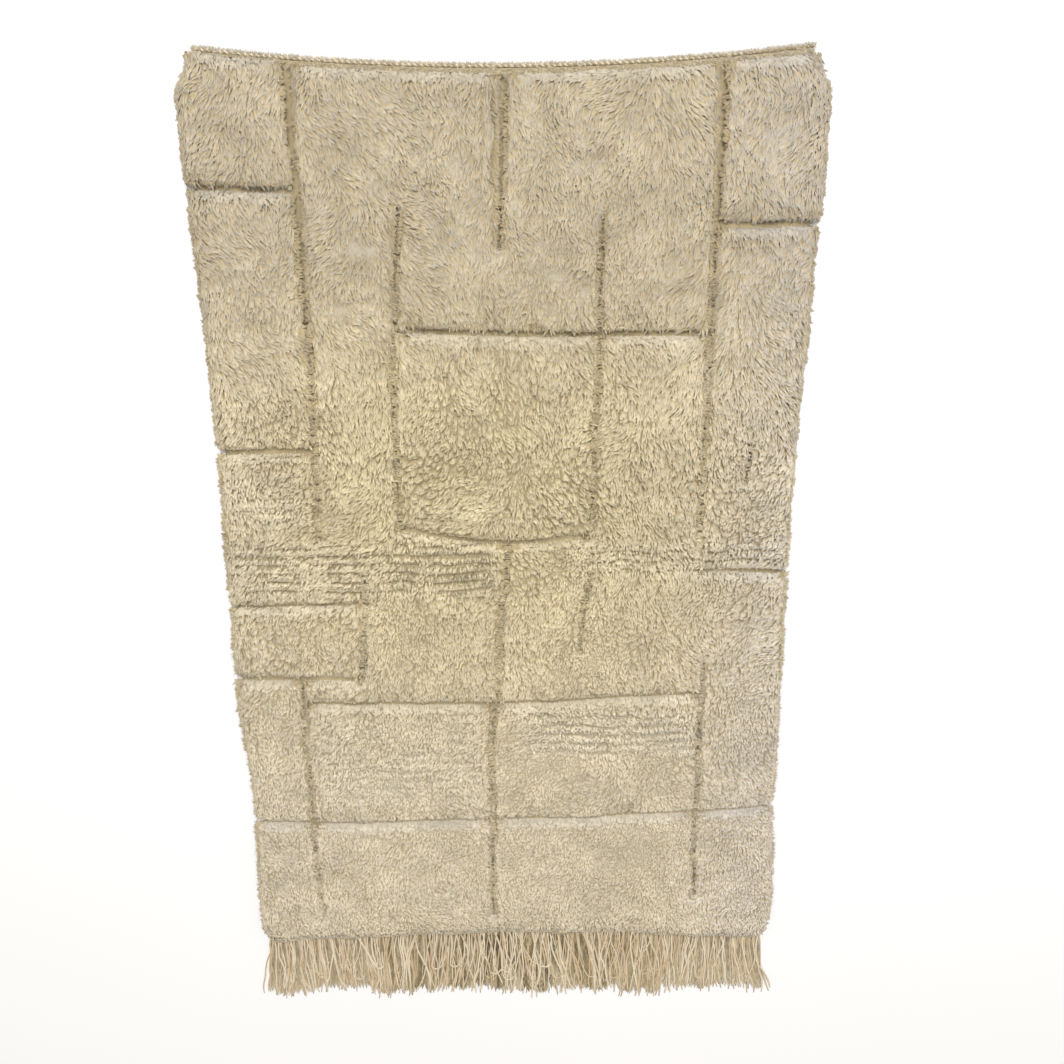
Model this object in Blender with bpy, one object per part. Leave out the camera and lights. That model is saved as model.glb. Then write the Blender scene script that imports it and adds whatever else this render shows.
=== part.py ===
"""A hand-knotted wool rug with a relief of plain blocks, laid out flat.

The rug lies on the floor with its pile up. +Y points to its corded end, where
the weaving began, -Y to its fringe, and +X to its right side. The origin is on
the floor under the middle of the rug. All sizes are in metres.
"""
import math
import random
from collections import namedtuple

import bmesh
import bpy
from mathutils import Vector, noise

# The woven ground, and the pile that is knotted into it
GROUND_THICKNESS = 0.0040
EDGE_WAVER = 0.0005
EDGE_WAVER_TURN = 0.57
PILE_HEIGHT = 0.0230
LUMP_HEIGHT = 0.0045
LUMP_LENGTH = 0.085
SMALL_LUMP_SHARE = 0.45
PILE_COLUMNS = 30
PILE_ROWS = 48
PLAN_PASSES = 4

# The plan: each end is an arc that swings by its rise between the middle and
# RISE_AT from it. The corded end sags in the middle, and the fringed end is
# longer at its corners, as on the rug when it hangs.
RISE_AT = 0.47
CORDED_END = 0.838
CORDED_END_RISE = 0.026
PILE_TOP_END = 0.8275
FRINGED_END = -0.715
FRINGED_END_RISE = -0.018
CORDED_CORNER_RADIUS = 0.012
FRINGED_CORNER_RADIUS = 0.034

# The pile's outer locks, which lie past the edge of the woven ground
PILE_OVERHANG = 0.012
SHOULDER_INSET = 0.009
SHOULDER_SHARE = 0.72
LOCK_CUTS = 2
LOCK_SEED = 11
LOCK_LENGTHS = (0.0025, 0.0065)
DENT_DEPTHS = (0.0, 0.0020)
LOCK_TIP_HEIGHTS = (0.0070, 0.0100)

# Half widths of the pile, from the middle line to each side, down its length
SidePoint = namedtuple("SidePoint", "y left right")
SIDES = (
    SidePoint(0.850, 0.484, 0.484),
    SidePoint(0.800, 0.504, 0.502),
    SidePoint(0.710, 0.502, 0.502),
    SidePoint(0.510, 0.495, 0.494),
    SidePoint(0.260, 0.491, 0.487),
    SidePoint(0.010, 0.494, 0.484),
    SidePoint(-0.190, 0.498, 0.488),
    SidePoint(-0.410, 0.486, 0.487),
    SidePoint(-0.640, 0.492, 0.499),
    SidePoint(-0.720, 0.490, 0.492),
)

# The channels between the blocks, where the ground was woven without knots.
# Each runs from its start to its end, and its middle is pushed aside by its bow:
# up on a channel that runs across the rug, to the right on one that runs down.
Channel = namedtuple("Channel", "name x0 y0 x1 y1 bow width0 width1")
PAST_RIM = 0.53
CHANNELS = (
    Channel("left_long", -0.330, 0.850, -0.326, 0.090, 0.003, 0.015, 0.009),
    Channel("left_rim_1", -PAST_RIM, 0.672, -0.331, 0.664, 0.0, 0.012, 0.012),
    Channel("left_rim_2", -PAST_RIM, 0.250, -0.326, 0.250, 0.0, 0.015, 0.015),
    Channel("left_rim_3", -PAST_RIM, -0.030, -0.245, -0.025, 0.0, 0.012, 0.010),
    Channel("left_rim_4", -PAST_RIM, -0.165, -0.267, -0.168, 0.0, 0.015, 0.013),
    Channel("left_inner", -0.169, 0.640, -0.187, 0.112, -0.010, 0.009, 0.010),
    Channel("top_middle", 0.001, 0.850, -0.012, 0.570, 0.0, 0.013, 0.010),
    Channel("right_inner", 0.152, 0.626, 0.138, 0.100, 0.004, 0.010, 0.009),
    Channel("right_long", 0.334, 0.850, 0.324, 0.034, 0.003, 0.014, 0.009),
    Channel("right_rim_1", 0.333, 0.612, PAST_RIM, 0.612, 0.0, 0.014, 0.014),
    Channel("right_rim_2", 0.325, 0.032, PAST_RIM, 0.033, -0.002, 0.010, 0.012),
    Channel("right_short", 0.409, 0.260, 0.402, 0.190, 0.0, 0.007, 0.007),
    Channel("across_upper", -0.180, 0.450, 0.334, 0.442, -0.004, 0.013, 0.012),
    Channel("across_middle", -0.187, 0.114, 0.139, 0.098, -0.017, 0.014, 0.014),
    Channel("left_step", -0.254, 0.033, -0.268, -0.168, 0.0, 0.008, 0.010),
    Channel("middle_short", 0.140, 0.032, 0.121, -0.120, 0.0, 0.008, 0.008),
    Channel("middle_upper", -0.003, 0.088, -0.029, -0.216, 0.0, 0.010, 0.011),
    Channel("across_lower", -0.373, -0.214, 0.338, -0.199, -0.010, 0.013, 0.012),
    Channel("middle_lower", -0.030, -0.216, -0.038, -0.672, -0.006, 0.012, 0.011),
    Channel("left_lower", -0.374, -0.168, -0.371, -0.672, -0.003, 0.011, 0.010),
    Channel("right_lower", 0.345, -0.136, 0.345, -0.632, -0.005, 0.009, 0.009),
    Channel("across_last", -PAST_RIM, -0.458, PAST_RIM, -0.433, -0.013, 0.013, 0.012),
)
CHANNEL_FLOOR = 0.0042
CHANNEL_STEP = 0.060
WALL_LEAN = 0.0025
CUT_TOP = 0.040
HEADING_CUT_DEPTH = 0.060
HEADING_CUT_STEPS = 36

# How far the hand wanders: the middle of a channel, and each of its edges
WANDER = 0.0025
WANDER_LENGTH = 0.090
EDGE_WANDER = 0.0015
EDGE_WANDER_LENGTH = 0.070

# The fringe: warp yarns that stay together in a narrow strip beside the ground
TOUCHING_GAP = 0.0003
FRINGE_HALF_WIDTH = 0.474
FRINGE_STRIP_DEPTH = 0.006
FRINGE_HEIGHT = 0.0026
STRIP_KEEP_EVERY = 8
STRANDS = 120
STRAND_STEPS = 4
STRAND_END = -0.861
STRAND_END_UNEVEN = 0.018
STRAND_END_WAVE = 0.035
STRAND_SPLAY = 0.035
STRAND_CLUMP = 0.0036
STRAND_CLUMP_WAVE = 0.062
STRAND_SWAY = 0.010
STRAND_SWAY_WAVE = 0.42
STRAND_TOP_SHARE = 0.55
STRAND_TIP_SHARE = 0.62

# The cord that closes the warp loops at the other end
CORD_RADIUS = 0.0028
CORD_WAIST_SHARE = 0.88
CORD_HALF_WIDTH = 0.474
CORD_POINTS = 76

# The finishes: base colour and roughness
PILE_FINISH = ((0.66, 0.58, 0.43), 0.95)
YARN_FINISH = ((0.56, 0.44, 0.28), 0.90)
CORD_FINISH = ((0.50, 0.42, 0.27), 0.92)


def smooth_step(share):
    """Ease a share of 0 to 1 in and out."""
    return share * share * (3.0 - 2.0 * share)


def end_arc(x, middle, rise):
    """The y of an end arc at x."""
    return middle + rise * (x / RISE_AT) ** 2


def side_width(y, side):
    """The half width of the pile at y, on the side called left or right."""
    if y >= SIDES[0].y:
        return getattr(SIDES[0], side)
    for upper, lower in zip(SIDES, SIDES[1:]):
        if y >= lower.y:
            share = smooth_step((upper.y - y) / (upper.y - lower.y))
            start = getattr(upper, side)
            return start + (getattr(lower, side) - start) * share
    return getattr(SIDES[-1], side)


def corner_inset(distance, radius):
    """How far a rounded corner draws a side in, at a distance from its end."""
    short = radius - min(max(distance, 0.0), radius)
    return radius - math.sqrt(radius * radius - short * short)


def plan_point(u, v, inset):
    """Place u and v, from -1 to 1 across and along the rug, on its plan."""
    side = "left" if u < 0.0 else "right"
    x = u * side_width(0.0, side)
    for _ in range(PLAN_PASSES):
        y_top = end_arc(x, CORDED_END, CORDED_END_RISE) + PILE_OVERHANG - inset
        y_bottom = end_arc(x, FRINGED_END, FRINGED_END_RISE) + inset
        y = y_bottom + (y_top - y_bottom) * (v + 1.0) / 2.0
        half_width = side_width(y, side) - inset
        half_width -= corner_inset(y_top - y, CORDED_CORNER_RADIUS)
        half_width -= corner_inset(y - y_bottom, FRINGED_CORNER_RADIUS)
        x = u * half_width
    return x, y


def uneven(across, along, row=0.0):
    """A smooth unevenness between about -1 and 1, different in each row."""
    return noise.noise(Vector((across, along, row + 0.5)))


def pile_top(x, y):
    """The height of the pile's lumpy top at a place on the plan."""
    small = LUMP_LENGTH * SMALL_LUMP_SHARE
    lumps = uneven(x / LUMP_LENGTH, y / LUMP_LENGTH) + uneven(x / small, y / small, 1.0)
    return PILE_HEIGHT + LUMP_HEIGHT * lumps


def make_material(name, finish):
    """A plain finish for one piece."""
    colour, roughness = finish
    material = bpy.data.materials.new(name)
    material.use_nodes = True
    material.diffuse_color = (*colour, 1.0)
    shader = material.node_tree.nodes["Principled BSDF"]
    shader.inputs["Base Color"].default_value = (*colour, 1.0)
    shader.inputs["Roughness"].default_value = roughness
    shader.inputs["Metallic"].default_value = 0.0
    return material


def add_object(name, data, collection, material=None):
    """Put a mesh or a curve in a collection as a named object."""
    thing = bpy.data.objects.new(name, data)
    collection.objects.link(thing)
    if material:
        data.materials.append(material)
    return thing


def mesh_from(bm, name):
    """Turn a working mesh into mesh data, with its faces pointing out."""
    bmesh.ops.recalc_face_normals(bm, faces=bm.faces)
    mesh = bpy.data.meshes.new(name)
    bm.to_mesh(mesh)
    bm.free()
    return mesh


def only(kind, geometry):
    """The vertices or the edges among what a mesh tool gives back."""
    return [item for item in geometry if isinstance(item, kind)]


def number_rim(bm, rim):
    """Number the rim's points in turn, so that locks and dents can alternate."""
    order = bm.verts.layers.int.new("order")
    meeting = {}
    for edge in rim:
        for vert in edge.verts:
            meeting.setdefault(vert, []).append(edge)
    edge = rim[0]
    vert = edge.verts[0]
    for number in range(len(rim)):
        vert[order] = number
        vert = edge.other_vert(vert)
        first, second = meeting[vert]
        edge = second if edge is first else first


def extrude_rim(bm, rim, inset, shape_of):
    """Extrude the rim to a new ring at an inset, and give the new ring's edges.

    shape_of gives each point's reach past the inset and its height.
    """
    made = bmesh.ops.extrude_edge_only(bm, edges=rim)["geom"]
    u = bm.verts.layers.float["u"]
    v = bm.verts.layers.float["v"]
    order = bm.verts.layers.int["order"]
    for vert in only(bmesh.types.BMVert, made):
        reach, height = shape_of(vert[order])
        vert.co = (*plan_point(vert[u], vert[v], inset - reach), height)
    return only(bmesh.types.BMEdge, made)


def make_slab():
    """The ground and its pile as one lumpy slab, before it is carved."""
    chance = random.Random(LOCK_SEED)

    def lock(number):
        """The tip of a lock, or at every other point the dent beside it."""
        reach = chance.uniform(*LOCK_LENGTHS) if number % 2 else -chance.uniform(*DENT_DEPTHS)
        return reach, chance.uniform(*LOCK_TIP_HEIGHTS)

    def ground_top(number):
        """The upper edge of the woven ground."""
        return EDGE_WAVER * math.sin(number * EDGE_WAVER_TURN), GROUND_THICKNESS

    def ground_bottom(number):
        """The lower edge of the woven ground, on the floor."""
        return EDGE_WAVER * math.sin(number * EDGE_WAVER_TURN), 0.0

    bm = bmesh.new()
    bmesh.ops.create_grid(bm, x_segments=PILE_COLUMNS, y_segments=PILE_ROWS, size=1.0)
    rim = [edge for edge in bm.edges if edge.is_boundary]
    bmesh.ops.subdivide_edges(bm, edges=rim, cuts=LOCK_CUTS)
    rim = [edge for edge in bm.edges if edge.is_boundary]
    number_rim(bm, rim)
    u = bm.verts.layers.float.new("u")
    v = bm.verts.layers.float.new("v")
    for vert in bm.verts:
        vert[u], vert[v] = vert.co.xy
        x, y = plan_point(vert[u], vert[v], SHOULDER_INSET)
        share = SHOULDER_SHARE if vert.is_boundary else 1.0
        vert.co = (x, y, pile_top(x, y) * share)
    rim = extrude_rim(bm, rim, 0.0, lock)
    rim = extrude_rim(bm, rim, PILE_OVERHANG, ground_top)
    rim = extrude_rim(bm, rim, PILE_OVERHANG, ground_bottom)
    bmesh.ops.contextual_create(bm, geom=rim)
    return mesh_from(bm, "rug_body")


def make_cutter(name, collection, steps, place_of):
    """A cutter that stands on the channels' floor, along a line of steps.

    place_of gives a point of its plan, for a share of its length, a side of -1
    or 1, and how far its wall leans out there.
    """
    bm = bmesh.new()
    bmesh.ops.create_grid(bm, x_segments=steps, y_segments=1, size=1.0)
    made = bmesh.ops.extrude_face_region(bm, geom=bm.faces[:])["geom"]
    raised = set(only(bmesh.types.BMVert, made))
    for vert in bm.verts:
        share = (vert.co.x + 1.0) / 2.0
        lean, height = (WALL_LEAN, CUT_TOP) if vert in raised else (0.0, CHANNEL_FLOOR)
        vert.co = (*place_of(share, vert.co.y, lean), height)
    cutter = add_object(name, mesh_from(bm, name), collection)
    cutter.hide_render = True
    cutter.display_type = "WIRE"


def cut_channel(row, channel, collection):
    """The cutter of one channel."""
    start = Vector((channel.x0, channel.y0))
    run = Vector((channel.x1, channel.y1)) - start
    across = Vector((-run.y, run.x)).normalized()

    def place_of(share, side, lean):
        """A point on one wall of the channel."""
        along = share * run.length
        middle = channel.bow * 4.0 * share * (1.0 - share)
        middle += WANDER * uneven(along / WANDER_LENGTH, row)
        half_width = (channel.width0 + (channel.width1 - channel.width0) * share) / 2.0
        half_width += EDGE_WANDER * uneven(along / EDGE_WANDER_LENGTH, row, side) + lean
        return start + run * share + across * (middle + side * half_width)

    steps = round(run.length / CHANNEL_STEP)
    make_cutter("cut_" + channel.name, collection, max(2, steps), place_of)


def cut_heading(collection):
    """The cutter that bares the woven heading past the pile's upper edge."""
    def place_of(share, side, lean):
        """A point on the heading's cut, whose inner wall follows the end arc."""
        x = PAST_RIM * (2.0 * share - 1.0)
        y = end_arc(x, PILE_TOP_END, CORDED_END_RISE)
        if side > 0.0:
            return x, y + HEADING_CUT_DEPTH
        return x, y + WANDER * uneven(x / EDGE_WANDER_LENGTH, 0.0) - lean

    make_cutter("cut_heading", collection, HEADING_CUT_STEPS, place_of)


def make_rug(collection, cutters, material):
    """The rug itself: the slab, carved down to its ground along the channels."""
    rug = add_object("rug_body", make_slab(), collection, material)
    for row, channel in enumerate(CHANNELS):
        cut_channel(row, channel, cutters)
    cut_heading(cutters)
    carve = rug.modifiers.new("carve", "BOOLEAN")
    carve.operation = "DIFFERENCE"
    carve.solver = "EXACT"
    carve.operand_type = "COLLECTION"
    carve.collection = cutters


def fringe_root(x):
    """The y of the fringe strip's inner edge at x."""
    ground_end = end_arc(x, FRINGED_END, FRINGED_END_RISE) + PILE_OVERHANG
    return ground_end - EDGE_WAVER - TOUCHING_GAP


def strand_point(x, share):
    """The middle of a strand at a share of its length from its root at x."""
    root_y = fringe_root(x) - FRINGE_STRIP_DEPTH
    end_y = STRAND_END + STRAND_END_UNEVEN * uneven(x / STRAND_END_WAVE, 0.0)
    clump = STRAND_CLUMP * math.sin(math.tau * x / STRAND_CLUMP_WAVE)
    sway = STRAND_SWAY * math.sin(math.tau * x / STRAND_SWAY_WAVE)
    lean = (STRAND_SPLAY * x + clump + sway) * smooth_step(share)
    return x + lean, root_y + (end_y - root_y) * share


def grow_strand(bm, face):
    """Extrude a face of the strip, step by step, into a strand on the floor."""
    middle = face.calc_center_median()
    corners = [(loop.vert.co.x - middle.x, loop.vert.co.z) for loop in face.loops]
    for step in range(1, STRAND_STEPS + 1):
        share = step / STRAND_STEPS
        thin = 1.0 - (1.0 - STRAND_TIP_SHARE) * share
        x, y = strand_point(middle.x, share)
        face = bmesh.ops.extrude_discrete_faces(bm, faces=[face])["faces"][0]
        for loop, (offset, height) in zip(face.loops, corners):
            narrow = STRAND_TOP_SHARE if height > 0.0 else 1.0
            loop.vert.co = (x + offset * thin * narrow, y, height * thin)


def make_fringe(collection, material):
    """The fringe: strands side by side, with their roots together in one strip."""
    bm = bmesh.new()
    bmesh.ops.create_grid(bm, x_segments=2 * STRANDS - 1, y_segments=1, size=1.0)
    inner = sorted((vert for vert in bm.verts if vert.co.y > 0.0), key=lambda vert: vert.co.x)
    spare = [vert for index, vert in enumerate(inner[:-1]) if index % STRIP_KEEP_EVERY]
    for vert in bm.verts:
        x = vert.co.x * FRINGE_HALF_WIDTH
        depth = FRINGE_STRIP_DEPTH if vert.co.y < 0.0 else 0.0
        vert.co = (x, fringe_root(x) - depth, 0.0)
    bmesh.ops.dissolve_verts(bm, verts=spare)
    made = bmesh.ops.extrude_face_region(bm, geom=bm.faces[:])["geom"]
    for vert in only(bmesh.types.BMVert, made):
        vert.co.z = FRINGE_HEIGHT
    bmesh.ops.recalc_face_normals(bm, faces=bm.faces)
    fronts = [face for face in bm.faces if face.normal.y < -0.5]
    fronts.sort(key=lambda face: face.calc_center_median().x)
    for face in fronts[::2]:
        grow_strand(bm, face)
    add_object("warp_fringe", mesh_from(bm, "warp_fringe"), collection, material)


def make_cord(collection, material):
    """The cord along the other end, lying on the floor beside the heading."""
    curve = bpy.data.curves.new("heading_cord", "CURVE")
    curve.dimensions = "3D"
    curve.bevel_depth = CORD_RADIUS
    curve.bevel_resolution = 2
    curve.use_fill_caps = True
    spline = curve.splines.new("POLY")
    spline.points.add(CORD_POINTS - 1)
    clear = EDGE_WAVER + TOUCHING_GAP + CORD_RADIUS
    for index, point in enumerate(spline.points):
        x = CORD_HALF_WIDTH * (2.0 * index / (CORD_POINTS - 1) - 1.0)
        y = end_arc(x, CORDED_END, CORDED_END_RISE) + clear
        point.co = (x, y, CORD_RADIUS, 1.0)
        point.radius = CORD_WAIST_SHARE if index % 2 else 1.0
    add_object("heading_cord", curve, collection, material)


def build():
    """Clear the file and build the rug."""
    for thing in list(bpy.data.objects):
        bpy.data.objects.remove(thing)
    parts = bpy.data.collections.new("beni_ourain_rug")
    cutters = bpy.data.collections.new("cutters")
    for collection in (parts, cutters):
        bpy.context.scene.collection.children.link(collection)
    make_rug(parts, cutters, make_material("ivory_wool_pile", PILE_FINISH))
    make_fringe(parts, make_material("tan_warp_yarn", YARN_FINISH))
    make_cord(parts, make_material("tan_twined_cord", CORD_FINISH))


build()
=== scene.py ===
# %% [markdown]
# # A shaggy wool rug with a relief of plain blocks
#
# A rug of this kind is knotted by hand on an upright loom. Warp yarns run its
# whole length, rows of thick wool knots are tied on them, and plain weft yarns
# lock each row. Where the weaver leaves the knots out, the flat cloth shows as a
# channel, and so the pile stands in blocks. The imported CAD model holds the sizes
# of all that. This script puts the wool, the cloth and the yarns in its place.

# %% Load the frame
import math
from collections import namedtuple

import bpy
import numpy as np
from mathutils import Matrix, Vector, noise


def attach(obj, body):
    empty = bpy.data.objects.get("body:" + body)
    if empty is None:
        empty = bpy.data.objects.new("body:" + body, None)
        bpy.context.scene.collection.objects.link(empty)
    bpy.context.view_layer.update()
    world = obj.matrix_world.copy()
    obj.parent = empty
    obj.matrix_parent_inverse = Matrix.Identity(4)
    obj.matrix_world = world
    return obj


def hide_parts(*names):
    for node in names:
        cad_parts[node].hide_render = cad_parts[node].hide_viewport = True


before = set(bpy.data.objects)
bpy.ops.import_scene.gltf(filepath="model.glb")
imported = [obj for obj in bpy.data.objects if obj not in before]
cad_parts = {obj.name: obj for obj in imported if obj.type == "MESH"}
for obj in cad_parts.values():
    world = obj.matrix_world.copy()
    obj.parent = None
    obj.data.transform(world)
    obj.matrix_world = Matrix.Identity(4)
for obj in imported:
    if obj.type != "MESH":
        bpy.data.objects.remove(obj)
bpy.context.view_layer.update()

print("nodes in the frame:", sorted(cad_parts))

# %% [markdown]
# ## The camera
#
# The photograph shows the rug from above its middle, a little tilted, so its
# corded end looks wider. The focal length and the tilt came from fitting the
# outline's four corners. Rotations are multiplied in the order tilt, yaw, roll.

# %% Stand the camera where the photograph was taken
PICTURE_SIDE = 1064.0
FOCAL_PIXELS = 1000.0
SENSOR_WIDTH = 36.0
CAMERA_PLACE = (0.029, 0.588, 1.668)
CAMERA_TILT = 16.35
CAMERA_YAW = -0.30
CAMERA_ROLL = -0.45

lens = bpy.data.cameras.new("photo_camera")
lens.sensor_width = SENSOR_WIDTH
lens.lens = FOCAL_PIXELS / PICTURE_SIDE * SENSOR_WIDTH
camera = bpy.data.objects.new("photo_camera", lens)
bpy.context.scene.collection.objects.link(camera)
turn = Matrix.Rotation(math.radians(-CAMERA_TILT), 4, "X")
turn = turn @ Matrix.Rotation(math.radians(CAMERA_YAW), 4, "Y")
turn = turn @ Matrix.Rotation(math.radians(CAMERA_ROLL), 4, "Z")
camera.matrix_world = Matrix.Translation(CAMERA_PLACE) @ turn
bpy.context.scene.camera = camera
print("lens, mm:", round(lens.lens, 2))

# %% [markdown]
# ## Light and floor
#
# One wide lamp beyond the corded end throws the thin, soft shadow that lies
# under the lower edge of every block. Light from all round keeps the shadows
# open. The plain view transform keeps the pale floor white, as around the rug
# in the photograph.

# %% Hang the soft lamp and light the room
LAMP_PLACE = (0.45, 3.25, 5.1)
LAMP_SIZE = 2.6
LAMP_POWER = 290.0
ROOM_LIGHT = 0.58
ROOM_COLOUR = (1.0, 0.965, 0.895)
LAMP_COLOUR = (0.985, 0.995, 1.050)

lamp_data = bpy.data.lights.new("soft_lamp", "AREA")
lamp_data.shape = "SQUARE"
lamp_data.size = LAMP_SIZE
lamp_data.energy = LAMP_POWER
lamp_data.color = LAMP_COLOUR
lamp = bpy.data.objects.new("soft_lamp", lamp_data)
lamp.location = LAMP_PLACE
lamp.rotation_euler = (-Vector(LAMP_PLACE)).to_track_quat("-Z", "Y").to_euler()
bpy.context.scene.collection.objects.link(lamp)

room = bpy.data.worlds.new("room")
room.use_nodes = True
background = room.node_tree.nodes["Background"]
background.inputs["Color"].default_value = (*ROOM_COLOUR, 1.0)
background.inputs["Strength"].default_value = ROOM_LIGHT
bpy.context.scene.world = room
bpy.context.scene.view_settings.view_transform = "Standard"
bpy.context.scene.view_settings.look = "None"
print("lamp at", LAMP_PLACE, "power", LAMP_POWER, "room light", ROOM_LIGHT)

# %% [markdown]
# ## Shader maths as Python
#
# A finish is a small tree of nodes. Written out node by node, it is hard to read,
# so one class wraps a socket: sums on it add Math nodes, and its node method adds
# anything else. Noise then reads as `streaks * 0.3 + 0.7`.

# %% Make a socket that understands sums
class Wire:
    """One socket in a finish. Sums on wires become Math nodes."""

    def __init__(self, tree, socket=None):
        self.tree = tree
        self.socket = socket

    def node(self, kind, settings, values, output=0):
        """Add a node, set it up, fill its sockets, and give one of its outputs."""
        made = self.tree.nodes.new("ShaderNode" + kind)
        for name, value in settings.items():
            setattr(made, name, value)
        for key, value in values.items():
            if isinstance(value, Wire):
                self.tree.links.new(value.socket, made.inputs[key])
            else:
                made.inputs[key].default_value = value
        return Wire(self.tree, made.outputs[output])

    def maths(self, operation, first, second=0.0):
        """Add one Math node."""
        return self.node("Math", {"operation": operation}, {0: first, 1: second})

    def __add__(self, other):
        return self.maths("ADD", self, other)

    def __radd__(self, other):
        return self.maths("ADD", other, self)

    def __sub__(self, other):
        return self.maths("SUBTRACT", self, other)

    def __rsub__(self, other):
        return self.maths("SUBTRACT", other, self)

    def __mul__(self, other):
        return self.maths("MULTIPLY", self, other)

    def __rmul__(self, other):
        return self.maths("MULTIPLY", other, self)

    def __pow__(self, other):
        return self.maths("POWER", self, other)


print("a wire understands + - * and **")


# %% Name the steps that the finishes share
FINE_DETAIL = 3.0


def between(wire, low, high):
    """Map low to 0 and high to 1, with an eased and clamped run between them."""
    ranged = {"interpolation_type": "SMOOTHSTEP"}
    return wire.node("MapRange", ranged, {"Value": wire, "From Min": low, "From Max": high})


def dyed(share, first, second, blend="MIX"):
    """Mix two colours by a share. A Mix node keeps its colours in sockets 6 and 7."""
    sockets = {0: share, 6: first, 7: second}
    return share.node("Mix", {"data_type": "RGBA", "blend_type": blend}, sockets, output=2)


def shaded(colour, tone):
    """Darken or lighten a colour by a tone around 1."""
    return tone.node("VectorMath", {"operation": "SCALE"}, {0: colour, "Scale": tone})


def new_finish(name):
    """A new material, its first wire and its main shader."""
    material = bpy.data.materials.new(name)
    material.use_nodes = True
    tree = material.node_tree
    return material, Wire(tree), tree.nodes["Principled BSDF"]


def patches(wire, place, size, detail=2.0):
    """Soft noise between 0 and 1 with patches of about this size, in metres."""
    sockets = {"Vector": place, "Scale": 1.0 / size, "Detail": detail}
    return wire.node("TexNoise", {}, sockets, output="Fac")


def object_place(wire):
    """The place on the rug, in metres."""
    return wire.node("TexCoord", {}, {}, output="Object")


def set_finish(wire, shader, colour, roughness, height, depth):
    """Link colour, roughness and a bump of this depth, in metres, to the shader."""
    bump = wire.node("Bump", {}, {"Height": height, "Distance": depth}, output="Normal")
    wire.tree.links.new(colour.socket, shader.inputs["Base Color"])
    wire.tree.links.new(roughness.socket, shader.inputs["Roughness"])
    wire.tree.links.new(bump.socket, shader.inputs["Normal"])


print("shader helpers are ready")

# %% [markdown]
# ## The floor
#
# The rug lies on a plain pale floor, a touch uneven in tone like painted board.

# %% Lay the floor
FLOOR_SIDE = 14.0
FLOOR_COLOURS = ((0.93, 0.925, 0.915, 1.0), (0.96, 0.955, 0.95, 1.0))
FLOOR_PATCH = 0.9
FLOOR_GRAIN = 0.004
FLOOR_ROUGHNESS = 0.75
FLOOR_BUMP = 0.00005
ROUGHNESS_SPREAD = 0.1

floor_finish, wire, shader = new_finish("pale_floor")
floor_place = object_place(wire)
floor_tone = patches(wire, floor_place, FLOOR_PATCH)
floor_grain = patches(wire, floor_place, FLOOR_GRAIN)
floor_colour = dyed(floor_tone, *FLOOR_COLOURS)
floor_roughness = floor_grain * ROUGHNESS_SPREAD + FLOOR_ROUGHNESS
set_finish(wire, shader, floor_colour, floor_roughness, floor_grain, FLOOR_BUMP)

half = FLOOR_SIDE / 2.0
floor_mesh = bpy.data.meshes.new("floor")
floor_corners = [(-half, -half, 0), (half, -half, 0), (half, half, 0), (-half, half, 0)]
floor_mesh.from_pydata(floor_corners, [], [(0, 1, 2, 3)])
floor_mesh.materials.append(floor_finish)
floor = bpy.data.objects.new("floor", floor_mesh)
bpy.context.scene.collection.objects.link(floor)
print("floor side, m:", FLOOR_SIDE)

# %% [markdown]
# ## The plan of the rug
#
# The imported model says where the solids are, but not why. The same named sizes
# that cut them also place the wool here: the outline, whose ends are arcs and
# whose sides waver, and the channels with their bows and widths. Distances are
# worked out for many places at once with numpy, so the functions take arrays.

# %% Name the outline's sizes
RISE_AT = 0.47
CORDED_END = 0.838
CORDED_END_RISE = 0.026
PILE_TOP_END = 0.8275
FRINGED_END = -0.715
FRINGED_END_RISE = -0.018
FRINGED_CORNER_RADIUS = 0.034
PILE_OVERHANG = 0.012
TUFTS_PAST_END = 0.0042
CORNER_TUFTS_PLACES = (-0.36, -0.27)
CORNER_TUFTS_THERE = (0.0050, 0.0)
PILE_HEIGHT = 0.0230
LUMP_HEIGHT = 0.0045
LUMP_LENGTH = 0.085
SMALL_LUMP_SHARE = 0.45
LAST_STEP = 1.001
TINY = 1e-9
SidePoint = namedtuple("SidePoint", "y left right")
SIDES = (
    SidePoint(0.850, 0.484, 0.484),
    SidePoint(0.800, 0.504, 0.502),
    SidePoint(0.710, 0.502, 0.502),
    SidePoint(0.510, 0.495, 0.494),
    SidePoint(0.260, 0.491, 0.487),
    SidePoint(0.010, 0.494, 0.484),
    SidePoint(-0.190, 0.498, 0.488),
    SidePoint(-0.410, 0.486, 0.487),
    SidePoint(-0.640, 0.492, 0.499),
    SidePoint(-0.720, 0.490, 0.492),
)
print("points on each side:", len(SIDES))


# %% Measure from the outline
def uneven(across, along, row=0.0):
    """Smooth unevenness between about -1 and 1. Each use of it has a row of its own."""
    pairs = zip(np.ravel(across).tolist(), np.ravel(along).tolist())
    return np.array([noise.noise((a, b, row + 0.5)) for a, b in pairs])


def end_arc(x, middle, rise):
    """The y of an end arc at x."""
    return middle + rise * (x / RISE_AT) ** 2


def half_width(x, y):
    """The half width of the pile at y, on the side of the rug that x is on."""
    levels = np.array([point.y for point in reversed(SIDES)])
    spot = np.clip(np.interp(y, levels, np.arange(len(levels))), 0.0, len(levels) - LAST_STEP)
    row = spot.astype(int)
    share = spot - row
    share = share * share * (3.0 - 2.0 * share)  # eased, so that the side has no kinks
    widths = []
    for side in ("left", "right"):
        kept = np.array([getattr(point, side) for point in reversed(SIDES)])
        widths.append(kept[row] + (kept[row + 1] - kept[row]) * share)
    return np.where(x < 0.0, *widths)


def inside_corner(side, end, radius):
    """The distance to a rounded corner's outline, from those to its two edges."""
    rounded = radius - np.hypot(radius - side, radius - end)
    return np.where((side < radius) & (end < radius), rounded, np.minimum(side, end))


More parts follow.
